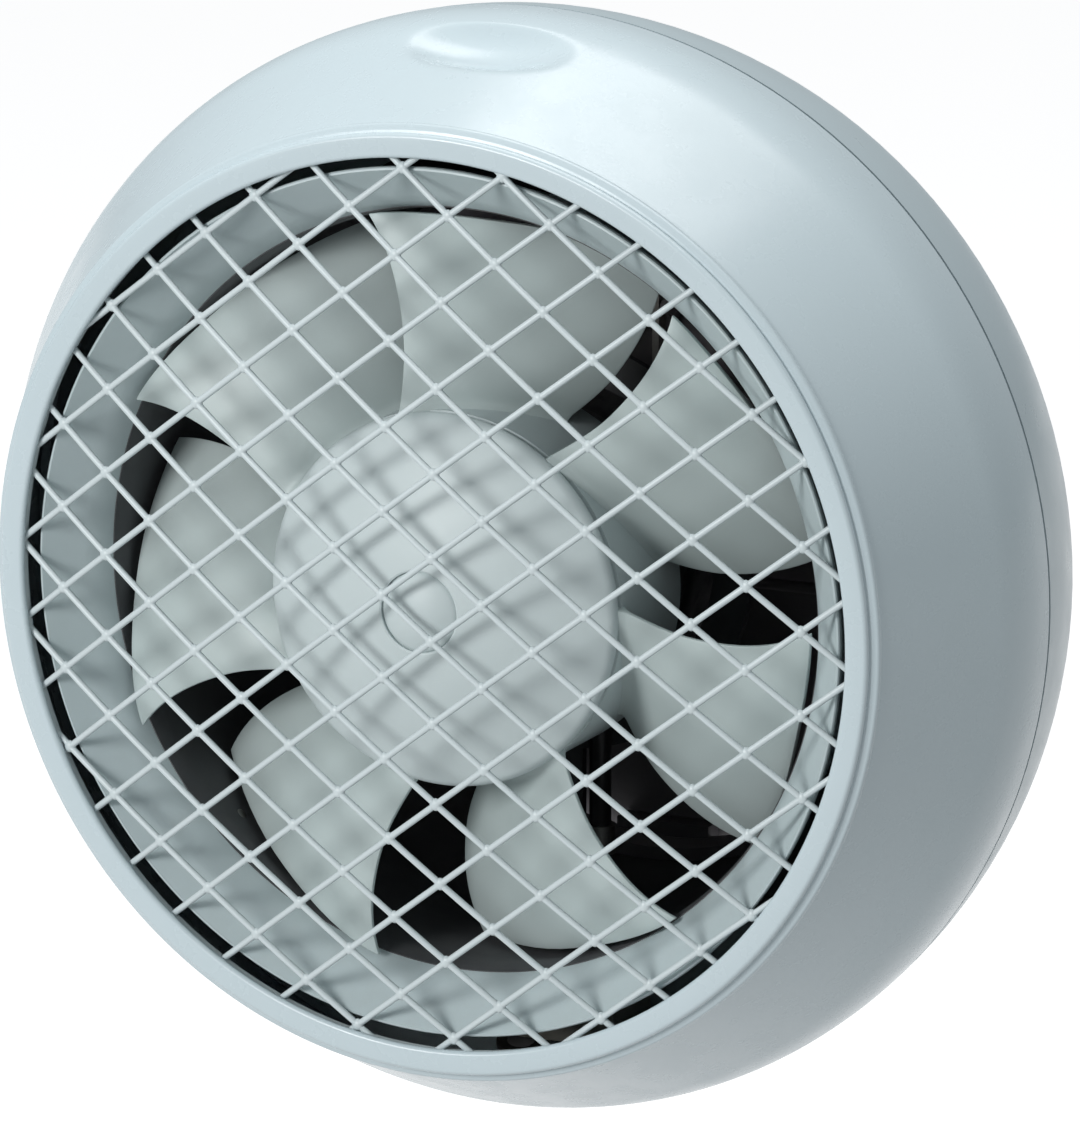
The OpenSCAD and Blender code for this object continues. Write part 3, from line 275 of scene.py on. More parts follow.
def moulded_group():
    """Moulded plastic: a tone that clouds over in broad and small patches, and orange peel."""
    group, inside, outside = new_group(
        "moulded_plastic",
        [("Position", "vector", None), ("Colour", "colour", None), ("Aged colour", "colour", None),
         ("Cloud", "value", 0.5), ("Gloss", "value", 0.35)],
        [("Colour", "colour"), ("Roughness", "value"), ("Height", "value")])
    place = inside.outputs["Position"]
    broad = noise(group, place, scale=9, detail=3)
    middle = noise(group, place, scale=70, detail=5, rough=0.6)
    peel = noise(group, place, scale=900, detail=2)
    cloud = sum_of(group, spread(group, broad, (0.35, 0.65), (0, 0.7)),
                   spread(group, middle, (0.4, 0.7), (0, 0.3)))
    aged = product(group, cloud, inside.outputs["Cloud"])
    colour = tint(group, inside.outputs["Colour"], aged, inside.outputs["Aged colour"])
    gloss = sum_of(group, spread(group, middle, (0.3, 0.7), (-0.04, 0.06)), inside.outputs["Gloss"])
    height = sum_of(group, product(group, peel, 0.6), broad)
    wire(group, colour, outside.inputs["Colour"])
    wire(group, gloss, outside.inputs["Roughness"])
    wire(group, height, outside.inputs["Height"])
    return group


def dust_group():
    """Dust lies in patches and specks on what faces up."""
    group, inside, outside = new_group(
        "settled_dust", [("Position", "vector", None), ("Amount", "value", 0.4)],
        [("Dust", "value")])
    place = inside.outputs["Position"]
    facing = add_node(group, "NewGeometry")
    parts = add_node(group, "SeparateXYZ")
    wire(group, facing.outputs["Normal"], parts.inputs[0])
    upward = spread(group, parts.outputs["Z"], (0.1, 1.0), (0, 1))
    broad = noise(group, place, scale=160, detail=6, rough=0.65)
    fine = noise(group, place, scale=1400, detail=2)
    spots = sum_of(group, spread(group, broad, (0.42, 0.7), (0, 1)),
                   spread(group, fine, (0.58, 0.66), (0, 0.5)))
    lying = product(group, upward, spots)
    wire(group, product(group, lying, inside.outputs["Amount"]), outside.inputs["Dust"])
    return group


def metal_group():
    """Plated or cast metal: grain drawn along one axis, with spots of oxide that are duller."""
    group, inside, outside = new_group(
        "worked_metal",
        [("Position", "vector", None), ("Colour", "colour", None), ("Oxide", "colour", None),
         ("Gloss", "value", 0.35), ("Wear", "value", 0.4)],
        [("Colour", "colour"), ("Roughness", "value"), ("Height", "value")])
    place = inside.outputs["Position"]
    stretch = add_node(group, "Mapping")
    stretch.inputs["Scale"].default_value = (1, 0.08, 1)
    wire(group, place, stretch.inputs["Vector"])
    grain = noise(group, stretch.outputs[0], scale=1500, detail=3, rough=0.7)
    patch = noise(group, place, scale=120, detail=6, rough=0.7)
    oxide = product(group, spread(group, patch, (0.52, 0.72), (0, 1)), inside.outputs["Wear"])
    colour = tint(group, inside.outputs["Colour"], oxide, inside.outputs["Oxide"])
    drawn = sum_of(group, spread(group, grain, (0.2, 0.8), (-0.06, 0.1)), inside.outputs["Gloss"])
    wire(group, colour, outside.inputs["Colour"])
    wire(group, sum_of(group, drawn, product(group, oxide, 0.3)), outside.inputs["Roughness"])
    wire(group, sum_of(group, grain, patch), outside.inputs["Height"])
    return group


MOULDED = moulded_group()
DUST = dust_group()
METAL = metal_group()
DUST_COLOUR = (0.33, 0.31, 0.28, 1)


# ---------------------------------------------------------------- materials

def new_material(name):
    material = bpy.data.materials.new(name)
    material.use_nodes = True
    tree = material.node_tree
    shader = tree.nodes["Principled BSDF"]
    place = add_node(tree, "TexCoord").outputs["Object"]
    return material, tree, shader, place


def place_group(tree, group, place, **values):
    """Puts a group into a material. An input's name is written with _ for each space."""
    node = add_node(tree, "Group")
    node.node_tree = group
    for name, value in values.items():
        node.inputs[name.replace("_", " ")].default_value = value
    wire(tree, place, node.inputs["Position"])
    return node


def raise_surface(tree, shader, height, strength, distance=0.2 * MM):
    bump = add_node(tree, "Bump")
    bump.inputs["Strength"].default_value = strength
    bump.inputs["Distance"].default_value = distance
    wire(tree, height, bump.inputs["Height"])
    wire(tree, bump.outputs["Normal"], shader.inputs["Normal"])


def plastic(name, colour, aged, gloss, cloud, dust, peel=0.12):
    material, tree, shader, place = new_material(name)
    body = place_group(tree, MOULDED, place, Colour=colour, Aged_colour=aged, Cloud=cloud,
                       Gloss=gloss)
    settled = place_group(tree, DUST, place, Amount=dust).outputs["Dust"]
    dusty = tint(tree, body.outputs["Colour"], settled, DUST_COLOUR)
    dull = sum_of(tree, body.outputs["Roughness"], product(tree, settled, 0.5))
    wire(tree, dusty, shader.inputs["Base Color"])
    wire(tree, dull, shader.inputs["Roughness"])
    raise_surface(tree, shader, body.outputs["Height"], peel)
    shader.inputs["IOR"].default_value = 1.49
    return material


def metal(name, colour, oxide, gloss, wear, bump=0.1):
    material, tree, shader, place = new_material(name)
    body = place_group(tree, METAL, place, Colour=colour, Oxide=oxide, Gloss=gloss, Wear=wear)
    wire(tree, body.outputs["Colour"], shader.inputs["Base Color"])
    wire(tree, body.outputs["Roughness"], shader.inputs["Roughness"])
    raise_surface(tree, shader, body.outputs["Height"], bump)
    shader.inputs["Metallic"].default_value = 1.0
    return material


def winding_wire():
    """Varnished copper wire, in rings round the fan's axis."""
    material, tree, shader, place = new_material("winding_wire")
    turns = add_node(tree, "TexWave", wave_type="RINGS", rings_direction="Y", wave_profile="SIN")
    turns.inputs["Scale"].default_value = 260
    turns.inputs["Distortion"].default_value = 1.2
    turns.inputs["Detail"].default_value = 2
    wire(tree, place, turns.inputs["Vector"])
    tone = noise(tree, place, scale=140, detail=4)
    shade = product(tree, spread(tree, turns.outputs["Fac"], (0, 1), (0.55, 1)),
                    spread(tree, tone, (0.3, 0.7), (0.7, 1)))
    copper = tint(tree, (0.16, 0.05, 0.02, 1), shade, (0.62, 0.27, 0.11, 1))
    wire(tree, copper, shader.inputs["Base Color"])
    wire(tree, spread(tree, tone, (0.3, 0.7), (0.25, 0.45)), shader.inputs["Roughness"])
    raise_surface(tree, shader, turns.outputs["Fac"], 0.8, 0.3 * MM)
    shader.inputs["Metallic"].default_value = 0.7
    return material


def stacked_sheet():
    """The edges of the core's pressed sheets, half a millimetre each, with dark gaps and rust."""
    material, tree, shader, place = new_material("stacked_sheet")
    parts = add_node(tree, "SeparateXYZ")
    wire(tree, place, parts.inputs[0])
    step = add_node(tree, "Math", operation="FRACT")
    wire(tree, product(tree, parts.outputs["Y"], 2000.0), step.inputs[0])
    gap = spread(tree, step.outputs[0], (0.0, 0.25), (0, 1))
    patch = noise(tree, place, scale=220, detail=5, rough=0.7)
    rust = spread(tree, patch, (0.5, 0.75), (0, 0.6))
    steel = tint(tree, (0.03, 0.03, 0.033, 1), gap, (0.16, 0.16, 0.165, 1))
    wire(tree, tint(tree, steel, rust, (0.12, 0.07, 0.04, 1)), shader.inputs["Base Color"])
    wire(tree, spread(tree, rust, (0, 0.6), (0.4, 0.7)), shader.inputs["Roughness"])
    raise_surface(tree, shader, gap, 0.4, 0.1 * MM)
    shader.inputs["Metallic"].default_value = 0.8
    return material


COWL = plastic("cowl_white", (0.54, 0.635, 0.67, 1), (0.52, 0.615, 0.64, 1),
               gloss=0.26, cloud=0.4, dust=0.02)
RING = plastic("ring_white", (0.46, 0.55, 0.58, 1), (0.44, 0.525, 0.55, 1),
               gloss=0.30, cloud=0.4, dust=0.02)
INLET = plastic("inlet_grey", (0.48, 0.56, 0.575, 1), (0.44, 0.52, 0.525, 1),
                gloss=0.40, cloud=0.7, dust=0.10)
GRILLE = plastic("grille_white", (0.60, 0.675, 0.69, 1), (0.55, 0.62, 0.63, 1),
                 gloss=0.36, cloud=0.5, dust=0.06)
BLADE = plastic("blade_grey", (0.47, 0.545, 0.54, 1), (0.43, 0.50, 0.49, 1),
                gloss=0.42, cloud=0.8, dust=0.06)
# A lighter copy of the blades' plastic for the hub and nut: painted light where the front lamp
# falls on the hub.
HUB = plastic("hub_painted_light", (0.55, 0.62, 0.625, 1), (0.51, 0.58, 0.58, 1),
              gloss=0.48, cloud=0.6, dust=0.03)
SHUTTER = plastic("shutter_charcoal", (0.16, 0.152, 0.165, 1), (0.19, 0.18, 0.19, 1),
                  gloss=0.46, cloud=0.8, dust=0.10)
BOX = plastic("box_buff", (0.40, 0.39, 0.35, 1), (0.33, 0.31, 0.26, 1),
              gloss=0.45, cloud=0.7, dust=0.30)
BLACK = plastic("black_plastic", (0.022, 0.022, 0.024, 1), (0.045, 0.045, 0.045, 1),
                gloss=0.42, cloud=0.6, dust=0.25)
RUBBER = plastic("rubber", (0.018, 0.018, 0.018, 1), (0.04, 0.038, 0.036, 1),
                 gloss=0.68, cloud=0.8, dust=0.20, peel=0.3)
DUCT = plastic("duct_paint", (0.055, 0.058, 0.062, 1), (0.07, 0.072, 0.074, 1),
               gloss=0.58, cloud=0.8, dust=0.05)
ZINC = metal("zinc_plate", (0.36, 0.36, 0.34, 1), (0.22, 0.20, 0.16, 1), gloss=0.42, wear=0.5)
CAST = metal("cast_shield", (0.13, 0.13, 0.135, 1), (0.08, 0.08, 0.08, 1),
             gloss=0.5, wear=0.6, bump=0.35)
BRONZE = metal("bearing_bronze", (0.52, 0.34, 0.15, 1), (0.26, 0.15, 0.06, 1),
               gloss=0.38, wear=0.6)
COPPER = winding_wire()
CORE = stacked_sheet()

SLOTS = {
    "cowl_plastic": COWL, "ring_plastic": RING, "inlet_plastic": INLET, "grille_plastic": GRILLE,
    "impeller_plastic": BLADE, "shutter_plastic": SHUTTER, "box_plastic": BOX,
    "black_plastic": BLACK, "rubber": RUBBER, "duct_steel": DUCT, "bracket_steel": DUCT,
    "zinc_steel": ZINC, "shield_metal": CAST, "bronze": BRONZE, "copper_wire": COPPER,
    "core_steel": CORE}
for node, slot in SLOT_OF.items():
    for holder in NODES[node].material_slots:
        holder.material = SLOTS[slot]


# ---------------------------------------------------------------- impeller

HUB_R, HUB_NOSE, HUB_DOME, HUB_REAR, HUB_WALL = 50.5, 103.5, 14.5, 48.0, 2.2
HUB_ROUND, GROOVE_DEEP, GROOVE_WIDE = 4.0, 2.0, 1.5
SEAT_R, SEAT_DEEP, BORE_R, STEM_R, STEM_REAR = 11.0, 2.0, 4.05, 10.0, 77.0
NUT_R, NUT_DOME, NUT_PROUD, NUT_EDGE, NUT_FACE = 10.8, 3.1, 1.6, 3.3, 0.8
TIP_R, BLADES, BLADE_ARC = 100.3, 7, 42.0
ROOT_R, ROOT_FLARE = HUB_R - HUB_WALL / 2, 3.0
BLADE_FRONT, BLADE_RUN, BLADE_BEND = 85.5, 25.5, 1.45
TIP_BACK, TIP_RUN, EDGE_THICK, BELLY_THICK = 3.0, 4.0, 1.1, 1.3
LEAD_TURN, LEAD_SWEEP, LEAD_ROOT = 0.6, 13.6, 3.0
THROAT_R, THROAT_DEPTH, INLET_ARC = 102.5, 71.0, 22.53


def hub():
    """The hub's shell: a shallow dome with a seat for the nut, a rounded shoulder with a thin
    groove under it, a straight skirt, and a stem inside."""
    ball = (HUB_R ** 2 + HUB_DOME ** 2) / (2 * HUB_DOME)
    centre = HUB_NOSE - ball
    round_r = HUB_R - HUB_ROUND
    round_d = centre + math.sqrt((ball - HUB_ROUND) ** 2 - round_r ** 2)
    lean = math.degrees(math.atan2(round_d - centre, round_r))
    seat_lean = math.degrees(math.asin(SEAT_R / ball))
    seat_floor = HUB_NOSE - SEAT_DEEP
    groove_r, wall_r = HUB_R - GROOVE_DEEP, HUB_R - HUB_WALL
    outside = [(SEAT_R, seat_floor), (SEAT_R, centre + math.sqrt(ball ** 2 - SEAT_R ** 2) - 0.3)]
    outside += arc(0, centre, ball, 90 - seat_lean - 0.3, lean, 26)
    outside += arc(round_r, round_d, HUB_ROUND, lean, 6, 8)[1:]
    outside += [(HUB_R - 0.05, round_d + 0.2), (groove_r, round_d),
                (groove_r, round_d - GROOVE_WIDE), (HUB_R, round_d - GROOVE_WIDE - 0.2)]
    outside += [(HUB_R, HUB_REAR + 20), (HUB_R, HUB_REAR + 0.4), (HUB_R - 0.4, HUB_REAR)]
    inside = [(wall_r, HUB_REAR), (wall_r, round_d - 3.0), (wall_r - 2.0, round_d)]
    inside += arc(0, centre, ball - HUB_WALL, lean + 2, 90 - seat_lean, 16)
    inside += [(STEM_R, centre + math.sqrt((ball - HUB_WALL) ** 2 - STEM_R ** 2)),
               (STEM_R, STEM_REAR), (BORE_R, STEM_REAR), (BORE_R, seat_floor)]
    return turned("hub_shell", outside + inside, 144)


def nut():
    """The nut in the middle: a low round button that nearly fills its seat."""
    ball = (NUT_R ** 2 + NUT_DOME ** 2) / (2 * NUT_DOME)
    top, seat, side = HUB_NOSE + NUT_PROUD, HUB_NOSE - SEAT_DEEP, NUT_R - 0.05
    rim = math.degrees(math.acos((NUT_R - 0.5) / ball))
    outline = [(0, top)] + arc(0, top - ball, ball, 88, rim, 12)
    outline += [(side, top - NUT_EDGE), (side, seat), (BORE_R, seat),
                (BORE_R, HUB_NOSE - NUT_FACE), (0, HUB_NOSE - NUT_FACE)]
    return turned("nut_button", outline, 96)


def tip_radius(depth):
    """The tips keep their gap to the duct, and in front of the throat to the inlet ring's curve."""
    ahead = max(depth - THROAT_DEPTH, 0)
    return TIP_R + INLET_ARC - math.sqrt(INLET_ARC ** 2 - ahead ** 2)


def blade_point(span, chord, side):
    """A point on the front (side 1) or back (side -1) of the first blade, in mm.

    Span goes from the root to the tip, chord from the leading to the trailing edge, each from 0
    to 1. The blade gets thicker at the root, where it flares into the hub.
    """
    run = BLADE_RUN + TIP_RUN * span
    depth = BLADE_FRONT - TIP_BACK * span ** 3 - run * chord ** BLADE_BEND
    radius = ROOT_R + span * (tip_radius(depth) - ROOT_R)
    width = radius * math.radians(BLADE_ARC)
    rise = run * BLADE_BEND * max(chord, 0.02) ** (BLADE_BEND - 1)
    size = math.hypot(width, rise)
    thick = EDGE_THICK + BELLY_THICK * (4 * chord * (1 - chord)) ** 0.6 * (1 - 0.3 * span)
    reach = radius - HUB_R
    if reach < ROOT_FLARE:
        gone = (ROOT_FLARE - max(reach, 0)) / ROOT_FLARE
        thick += 1.2 * ROOT_FLARE * (1 - math.sqrt(max(1 - gone ** 2, 0)))
    half = side * thick / 2
    lead = LEAD_TURN - LEAD_SWEEP * span * (1 - span) + LEAD_ROOT * max(0, 1 - span / 0.4) ** 2
    angle = math.radians(lead - chord * BLADE_ARC) - half * rise / size / radius
    return Vector((radius * math.cos(angle), -depth - half * width / size,
                   radius * math.sin(angle)))


def blade():
    """One blade: a sheet of faces shaped to the twist, closed at its root and tip.

    The rows stand close together at the root, to follow the flare there.
    """
    spans = [0.0, 0.022, 0.04, 0.06, 0.08, 0.105, 0.135, 0.17]
    spans += [0.17 + 0.83 * i / 18 for i in range(1, 19)]
    chords = [0.5 - 0.5 * math.cos(math.pi * i / 22) for i in range(23)]
    across = len(chords)
    ring = 2 * across
    points, faces = [], []
    for span in spans:
        points += [blade_point(span, c, 1) * MM for c in chords]
        points += [blade_point(span, c, -1) * MM for c in reversed(chords)]
    for i in range(len(spans) - 1):
        for j in range(ring):
            k = (j + 1) % ring
            faces.append((i * ring + j, i * ring + k, (i + 1) * ring + k, (i + 1) * ring + j))
    for start in (0, (len(spans) - 1) * ring):
        for j in range(across - 1):
            faces.append((start + j, start + j + 1, start + ring - 2 - j, start + ring - 1 - j))
    piece = add_mesh("blade", points, (), faces)
    start_edit(piece)
    bpy.ops.mesh.remove_doubles(threshold=TOUCHING)
    bpy.ops.mesh.normals_make_consistent(inside=False)
    end_edit()
    bevel(piece, 0.35, 50)
    return piece


def impeller():
    first = blade()
    blades = [copy_of(first, Matrix.Rotation(-math.tau * k / BLADES, 4, "Y"))
              for k in range(1, BLADES)]
    piece = settle(join([first] + blades, "impeller_blades"), 40)
    fit(piece, "impeller_assembly", "impeller_plastic", BLADE, "impeller")
    # The hub and nut take the lighter copy of the blades' plastic, which is painted light.
    fit(hub(), "impeller_assembly", "impeller_plastic", HUB)
    fit(nut(), "impeller_assembly", "impeller_plastic", HUB, "spinner_nut")


impeller()


# ---------------------------------------------------------------- cowl

COWL_R, COWL_WALL, SEAM, LEAN = 150.0, 2.5, 33.4, math.radians(24.99)
RING_ARC, SIDE_ARC, WIDEST = 111.81, 42.6, 40.0
RING_CENTRE, SIDE_CENTRE = COWL_R - RING_ARC, COWL_R - SIDE_ARC
LIP_ARC, LIP_DEPTH, LIP_OUT, LIP_IN = 1.25, 98.25, 125.35, 121.25
BEAD_R, BEAD_DEPTH, BEAD_ARC = 127.6, 95.6, 1.3
RECESS_DEPTH, RECESS_SINK, RECESS_ROUND, RECESS_SCOOP = 66.0, 4.0, 82.0, 14.0
RECESS_REACH, RECESS_SOFT = 34, 0.45


def skin(depth, inset=0.0):
    """Radius of the cowl's skin at a depth, or of the surface a distance inside it."""
    arc_end = WIDEST + (SIDE_ARC - inset) * math.sin(LEAN)
    if depth <= WIDEST:
        return RING_CENTRE + math.sqrt((RING_ARC - inset) ** 2 - (depth - WIDEST) ** 2)
    if depth <= arc_end:
        return SIDE_CENTRE + math.sqrt((SIDE_ARC - inset) ** 2 - (depth - WIDEST) ** 2)
    return SIDE_CENTRE + (SIDE_ARC - inset) * math.cos(LEAN) - (depth - arc_end) * math.tan(LEAN)


def dent(point, grow):
    """Sinks a point of the skin into the finger recess, with a soft edge all round it.

    The recess is a scoop swept on an arc over the top of the cowl. The wall's inner side gets a
    scoop that is larger by the wall.
    """
    x, depth = point.x / MM, -point.y / MM
    reach = RECESS_SCOOP + grow
    if point.z < 0 or abs(x) > RECESS_REACH or abs(depth - RECESS_DEPTH) >= reach:
        return
    axis = skin(RECESS_DEPTH) - RECESS_SINK + RECESS_ROUND
    across = RECESS_ROUND - RECESS_SCOOP + math.sqrt(reach ** 2 - (depth - RECESS_DEPTH) ** 2)
    above = (point.z / MM - axis + math.sqrt(across ** 2 - x ** 2)) / RECESS_SOFT
    if above > -6:  # further below the scoop the skin stays as it is
        point.z -= RECESS_SOFT * math.log1p(math.exp(min(above, 40))) * MM


def cowl():
    """The cowl: swelling side, sloping front, bead, groove and rolled lip, with its recess.

    Behind the lip the inside has a step, which takes the grille's flange.
    """
    depths = [SEAM + 0.4 * i for i in range(1, 5)] + [36.5 + 1.75 * i for i in range(9)]
    depths += [51.6 + 22.4 * (i / 26) ** 1.5 for i in range(27)] + [78.0, 84.0, 90.0, 94.6]
    outside = [(skin(SEAM) - 0.5, SEAM)] + [(skin(d), d) for d in depths]
    outside += arc(BEAD_R, BEAD_DEPTH, BEAD_ARC, -27, 80, 8)
    outside += [(127.45, 97.15), (127.1, 97.35), (126.7, 97.35)]
    outside += arc(LIP_OUT, LIP_DEPTH, LIP_ARC, -36, 90, 8)
    inside = arc(LIP_IN, LIP_DEPTH, LIP_ARC, 90, 270, 12)
    inside += [(125.6, 97.0), (125.97, 96.6), (125.97, 94.5)]
    inside += [(skin(93.0 - 2.0 * i, COWL_WALL), 93.0 - 2.0 * i) for i in range(30)]
    shell = turned("cowl_shell", outside + inside, 480)
    for vertex in shell.data.vertices:
        radius = math.hypot(vertex.co.x, vertex.co.z) / MM
        on_skin = radius > skin(-vertex.co.y / MM) - COWL_WALL / 2
        dent(vertex.co, 0.0 if on_skin else COWL_WALL)
    fit(settle(shell, 50), "cowl_assembly", "cowl_plastic", COWL, "front_cowl")


cowl()


# ---------------------------------------------------------------- inlet ring

RIM_R, RIM_FRONT, INLET_WALL = 117.0, 95.2, 2.2
SOCKET_R, SOCKET_REAR = 104.2, 58.0


def inlet():
    """The bell mouth, pale to its rim close behind the lip, with a dark sheet over its throat as
    painted shade.
    """
    middle, step = THROAT_R + INLET_ARC, THROAT_DEPTH - 0.2
    outline = [(RIM_R, RIM_FRONT - 1.8), (RIM_R, RIM_FRONT - 0.5), (RIM_R - 0.3, RIM_FRONT - 0.1),
               (RIM_R - 0.8, RIM_FRONT)]
    outline += arc(middle, THROAT_DEPTH, INLET_ARC, 180 - 43, 180, 32)
    outline += [(THROAT_R, step), (SOCKET_R, step), (SOCKET_R, SOCKET_REAR),
                (SOCKET_R + INLET_WALL, SOCKET_REAR), (SOCKET_R + INLET_WALL, THROAT_DEPTH + 1.0)]
    outline += arc(middle, THROAT_DEPTH, INLET_ARC - INLET_WALL, 180 - 9, 180 - 43, 20)
    fit(turned("inlet_bell", outline, 240), "fan_body", "inlet_plastic", INLET, "inlet_ring")
    # A thin sheet in the duct's dark paint over the pale throat: painted shade where the throat
    # lies in shadow behind the blade tips.
    throat_shade_sheet = arc(middle, THROAT_DEPTH, INLET_ARC + 0.25, 180, 180 - 18.5, 12)
    throat_shade_sheet += arc(middle, THROAT_DEPTH, INLET_ARC - 0.4, 180 - 19.2, 180, 12)
    fit(turned("inlet_throat_painted_shade", throat_shade_sheet, 240), "fan_body", "inlet_plastic", DUCT)


inlet()


# ---------------------------------------------------------------- grille

MOUTH_R, PITCH, SLOPE = 120.0, 17.6, math.radians(37.8)
DOME, DOME_RIM = 13.6, 96.1
DOME_R = (MOUTH_R ** 2 + DOME ** 2) / (2 * DOME)
DOME_CENTRE = -(DOME_RIM + DOME - DOME_R)
BAR_R, BAR_SIDES, BAR_STEP, BAR_OVERRUN = 0.9, 10, 5, 1.8
BOSS_R, BOSS_FLAT = 1.75, 0.62
FLANGE_IN, FLANGE_OUT, FLANGE_REAR, FLANGE_FRONT = 120.6, 125.8, 95.0, 97.0


def dome_depth(x, z):
    return -DOME_CENTRE + math.sqrt(DOME_R ** 2 - x ** 2 - z ** 2)


def bar(offset, slope):
    """A rounded bar swept over the dome at a distance from the middle, from flange to flange."""
    reach = MOUTH_R + BAR_OVERRUN
    half = math.sqrt(reach ** 2 - offset ** 2)
    along = Vector((math.cos(slope), 0, math.sin(slope)))
    aside = Vector((-math.sin(slope), 0, math.cos(slope)))
    centre = aside * offset + Vector((0, DOME_CENTRE, 0))
    swing = math.asin(half / math.sqrt(DOME_R ** 2 - offset ** 2))
    start = aside * offset - along * half
    start.y = -dome_depth(start.x, start.z)
    outward = (start - centre).normalized()
    ring = []
    for i in range(BAR_SIDES):
        turn = math.tau * (i + 0.5) / BAR_SIDES
        ring.append((start + outward * BAR_R * math.sin(turn)
                     + aside * BAR_R * math.cos(turn)) * MM)
    piece = add_mesh("bar", ring, [(i, (i + 1) % BAR_SIDES) for i in range(BAR_SIDES)])
    start_edit(piece)
    bpy.ops.mesh.spin(steps=max(4, int(half / BAR_STEP)), angle=-2 * swing,
                      center=centre * MM, axis=aside)
    bpy.ops.mesh.select_all(action="SELECT")
    bpy.ops.mesh.fill_holes(sides=BAR_SIDES)
    end_edit()
    return piece


def grille():
    """Two sets of bars cross on a shallow dome; a small round boss stands at each crossing."""
    reach = int(MOUTH_R / PITCH) + 1
    bars = []
    for k in range(-reach, reach + 1):
        if abs((k + 0.5) * PITCH) < MOUTH_R:
            bars.append(bar((k + 0.5) * PITCH, SLOPE))
        if abs(k * PITCH) < MOUTH_R:
            bars.append(bar(k * PITCH, -SLOPE))
    clear_selection()
    bpy.ops.mesh.primitive_ico_sphere_add(subdivisions=2, radius=BOSS_R * MM)
    boss = bpy.context.object
    boss.data.transform(Matrix.Diagonal((1, BOSS_FLAT, 1, 1)))
    step = PITCH / math.sin(2 * SLOPE)
    counts = range(-2 * reach, 2 * reach + 1)
    bosses = []
    for i in counts:
        for j in counts:
            x = (i + 0.5 + j) * step * math.cos(SLOPE)
            z = (j - i - 0.5) * step * math.sin(SLOPE)
            if math.hypot(x, z) < MOUTH_R - 1.0:
                place = Vector((x, -dome_depth(x, z), z)) * MM
                bosses.append(copy_of(boss, Matrix.Translation(place)))
    bpy.data.objects.remove(boss)
    piece = join(bars + bosses, "grille_mesh")
    start_edit(piece)
    bpy.ops.mesh.normals_make_consistent(inside=False)
    end_edit()
    fit(settle(piece, 60), "cowl_assembly", "grille_plastic", GRILLE, "grille")
    flange = [(FLANGE_IN, FLANGE_FRONT), (FLANGE_OUT, FLANGE_FRONT), (FLANGE_OUT, FLANGE_REAR),
              (FLANGE_IN, FLANGE_REAR)]
    fit(turned("grille_flange", flange, 128), "cowl_assembly", "grille_plastic", GRILLE)


grille()


# ---------------------------------------------------------------- pieces with softened edges

SOFTENED = [("shutter_flap_%d" % k, "flap_%d" % k, 0.25) for k in range(1, 6)]
SOFTENED += [("terminal_box", "fan_body", 0.3), ("terminal_cover", "fan_body", 0.5),
             ("capacitor", "fan_body", 0.8)]
for node, body, width in SOFTENED:
    fit(softened(node, width), body, SLOT_OF[node], SLOTS[SLOT_OF[node]], node)


# ---------------------------------------------------------------- motor windings

BUNDLE_R, BUNDLE_THICK_R, BUNDLE_PLACES = 27.0, 5.0, (-51.5, -20.5)


def windings():
    """Two bundles of wire, one at each end of the core."""
    bundles = []
    for place in BUNDLE_PLACES:
        clear_selection()
        bpy.ops.mesh.primitive_torus_add(
            major_segments=96, minor_segments=16, major_radius=BUNDLE_R * MM,
            minor_radius=BUNDLE_THICK_R * MM, rotation=(math.pi / 2, 0, 0),
            location=(0, place * MM, 0))
        bundles.append(settle(bpy.context.object))
    piece = join(bundles, "winding_bundles")
    fit(settle(piece, 60), "fan_body", "copper_wire", COPPER, "stator_windings")


windings()


# ---------------------------------------------------------------- light and floor

FLOOR_SIZE, FLOOR_HEIGHT = 14, -0.40
WHITE = (1, 1, 1, 1)


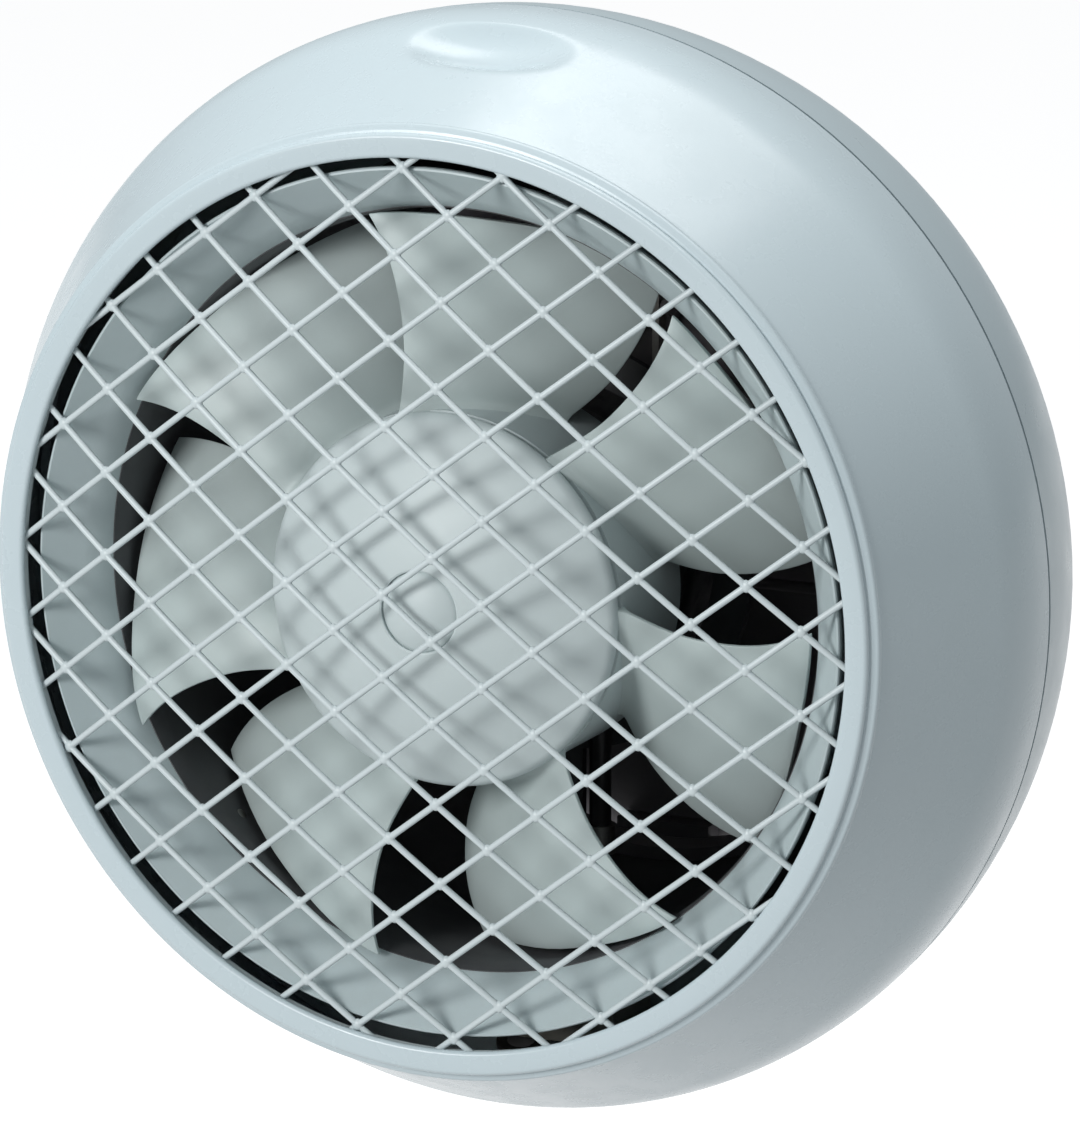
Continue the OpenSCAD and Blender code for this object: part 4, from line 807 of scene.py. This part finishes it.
def stage_material(name, colour, seen):
    """A matt stage that is brighter to the camera and in reflections, but keeps the shadow."""
    material = bpy.data.materials.new(name)
    material.use_nodes = True
    tree = material.node_tree
    tree.nodes.clear()
    rays = add_node(tree, "LightPath")
    matt = add_node(tree, "BsdfDiffuse")
    matt.inputs["Color"].default_value = colour
    bright = add_node(tree, "Emission")
    bright.inputs["Color"].default_value = WHITE
    bright.inputs["Strength"].default_value = seen
    add = add_node(tree, "AddShader")
    pick = add_node(tree, "MixShader")
    out = add_node(tree, "OutputMaterial")
    sees = calc(tree, "MAXIMUM", rays.outputs["Is Camera Ray"], rays.outputs["Is Glossy Ray"])
    sees = calc(tree, "MAXIMUM", sees, rays.outputs["Is Transmission Ray"])
    wire(tree, matt.outputs[0], add.inputs[0])
    wire(tree, bright.outputs[0], add.inputs[1])
    wire(tree, sees, pick.inputs[0])
    wire(tree, matt.outputs[0], pick.inputs[1])
    wire(tree, add.outputs[0], pick.inputs[2])
    wire(tree, pick.outputs[0], out.inputs[0])
    return material


def background(tree, colour, strength):
    node = add_node(tree, "Background")
    node.inputs["Color"].default_value = colour
    node.inputs["Strength"].default_value = strength
    return node.outputs[0]


def stage():
    """A wide floor under the fan, and a world that is soft light but white to the camera."""
    clear_selection()
    bpy.ops.mesh.primitive_plane_add(size=FLOOR_SIZE, location=(0, 0, FLOOR_HEIGHT))
    floor = bpy.context.object
    floor.name = "floor"
    floor.data.materials.append(stage_material("floor_paper", (0.5, 0.5, 0.5, 1), 0.78))
    world = bpy.data.worlds.new("studio")
    bpy.context.scene.world = world
    world.use_nodes = True
    tree = world.node_tree
    tree.nodes.clear()
    rays = add_node(tree, "LightPath")
    pick = add_node(tree, "MixShader")
    out = add_node(tree, "OutputWorld")
    wire(tree, rays.outputs["Is Camera Ray"], pick.inputs[0])
    wire(tree, background(tree, (0.92, 0.96, 1.0, 1), 0.34), pick.inputs[1])
    wire(tree, background(tree, WHITE, 1.0), pick.inputs[2])
    wire(tree, pick.outputs[0], out.inputs[0])


def softbox(name, place, target, size, power):
    data = bpy.data.lights.new(name, "AREA")
    data.shape = "RECTANGLE"
    data.size, data.size_y = size
    data.energy = power
    lamp = bpy.data.objects.new(name, data)
    bpy.context.scene.collection.objects.link(lamp)
    aim = (Vector(place) - Vector(target)).to_track_quat("Z", "Y").to_matrix().to_4x4()
    lamp.matrix_world = Matrix.Translation(place) @ aim


stage()
softbox("key_front_left", (-0.66, -1.80, 0.62), (0, -0.08, 0), (0.66, 0.66), 24)
softbox("overhead", (0.06, 0.14, 1.7), (0, -0.06, 0), (1.5, 0.9), 21)
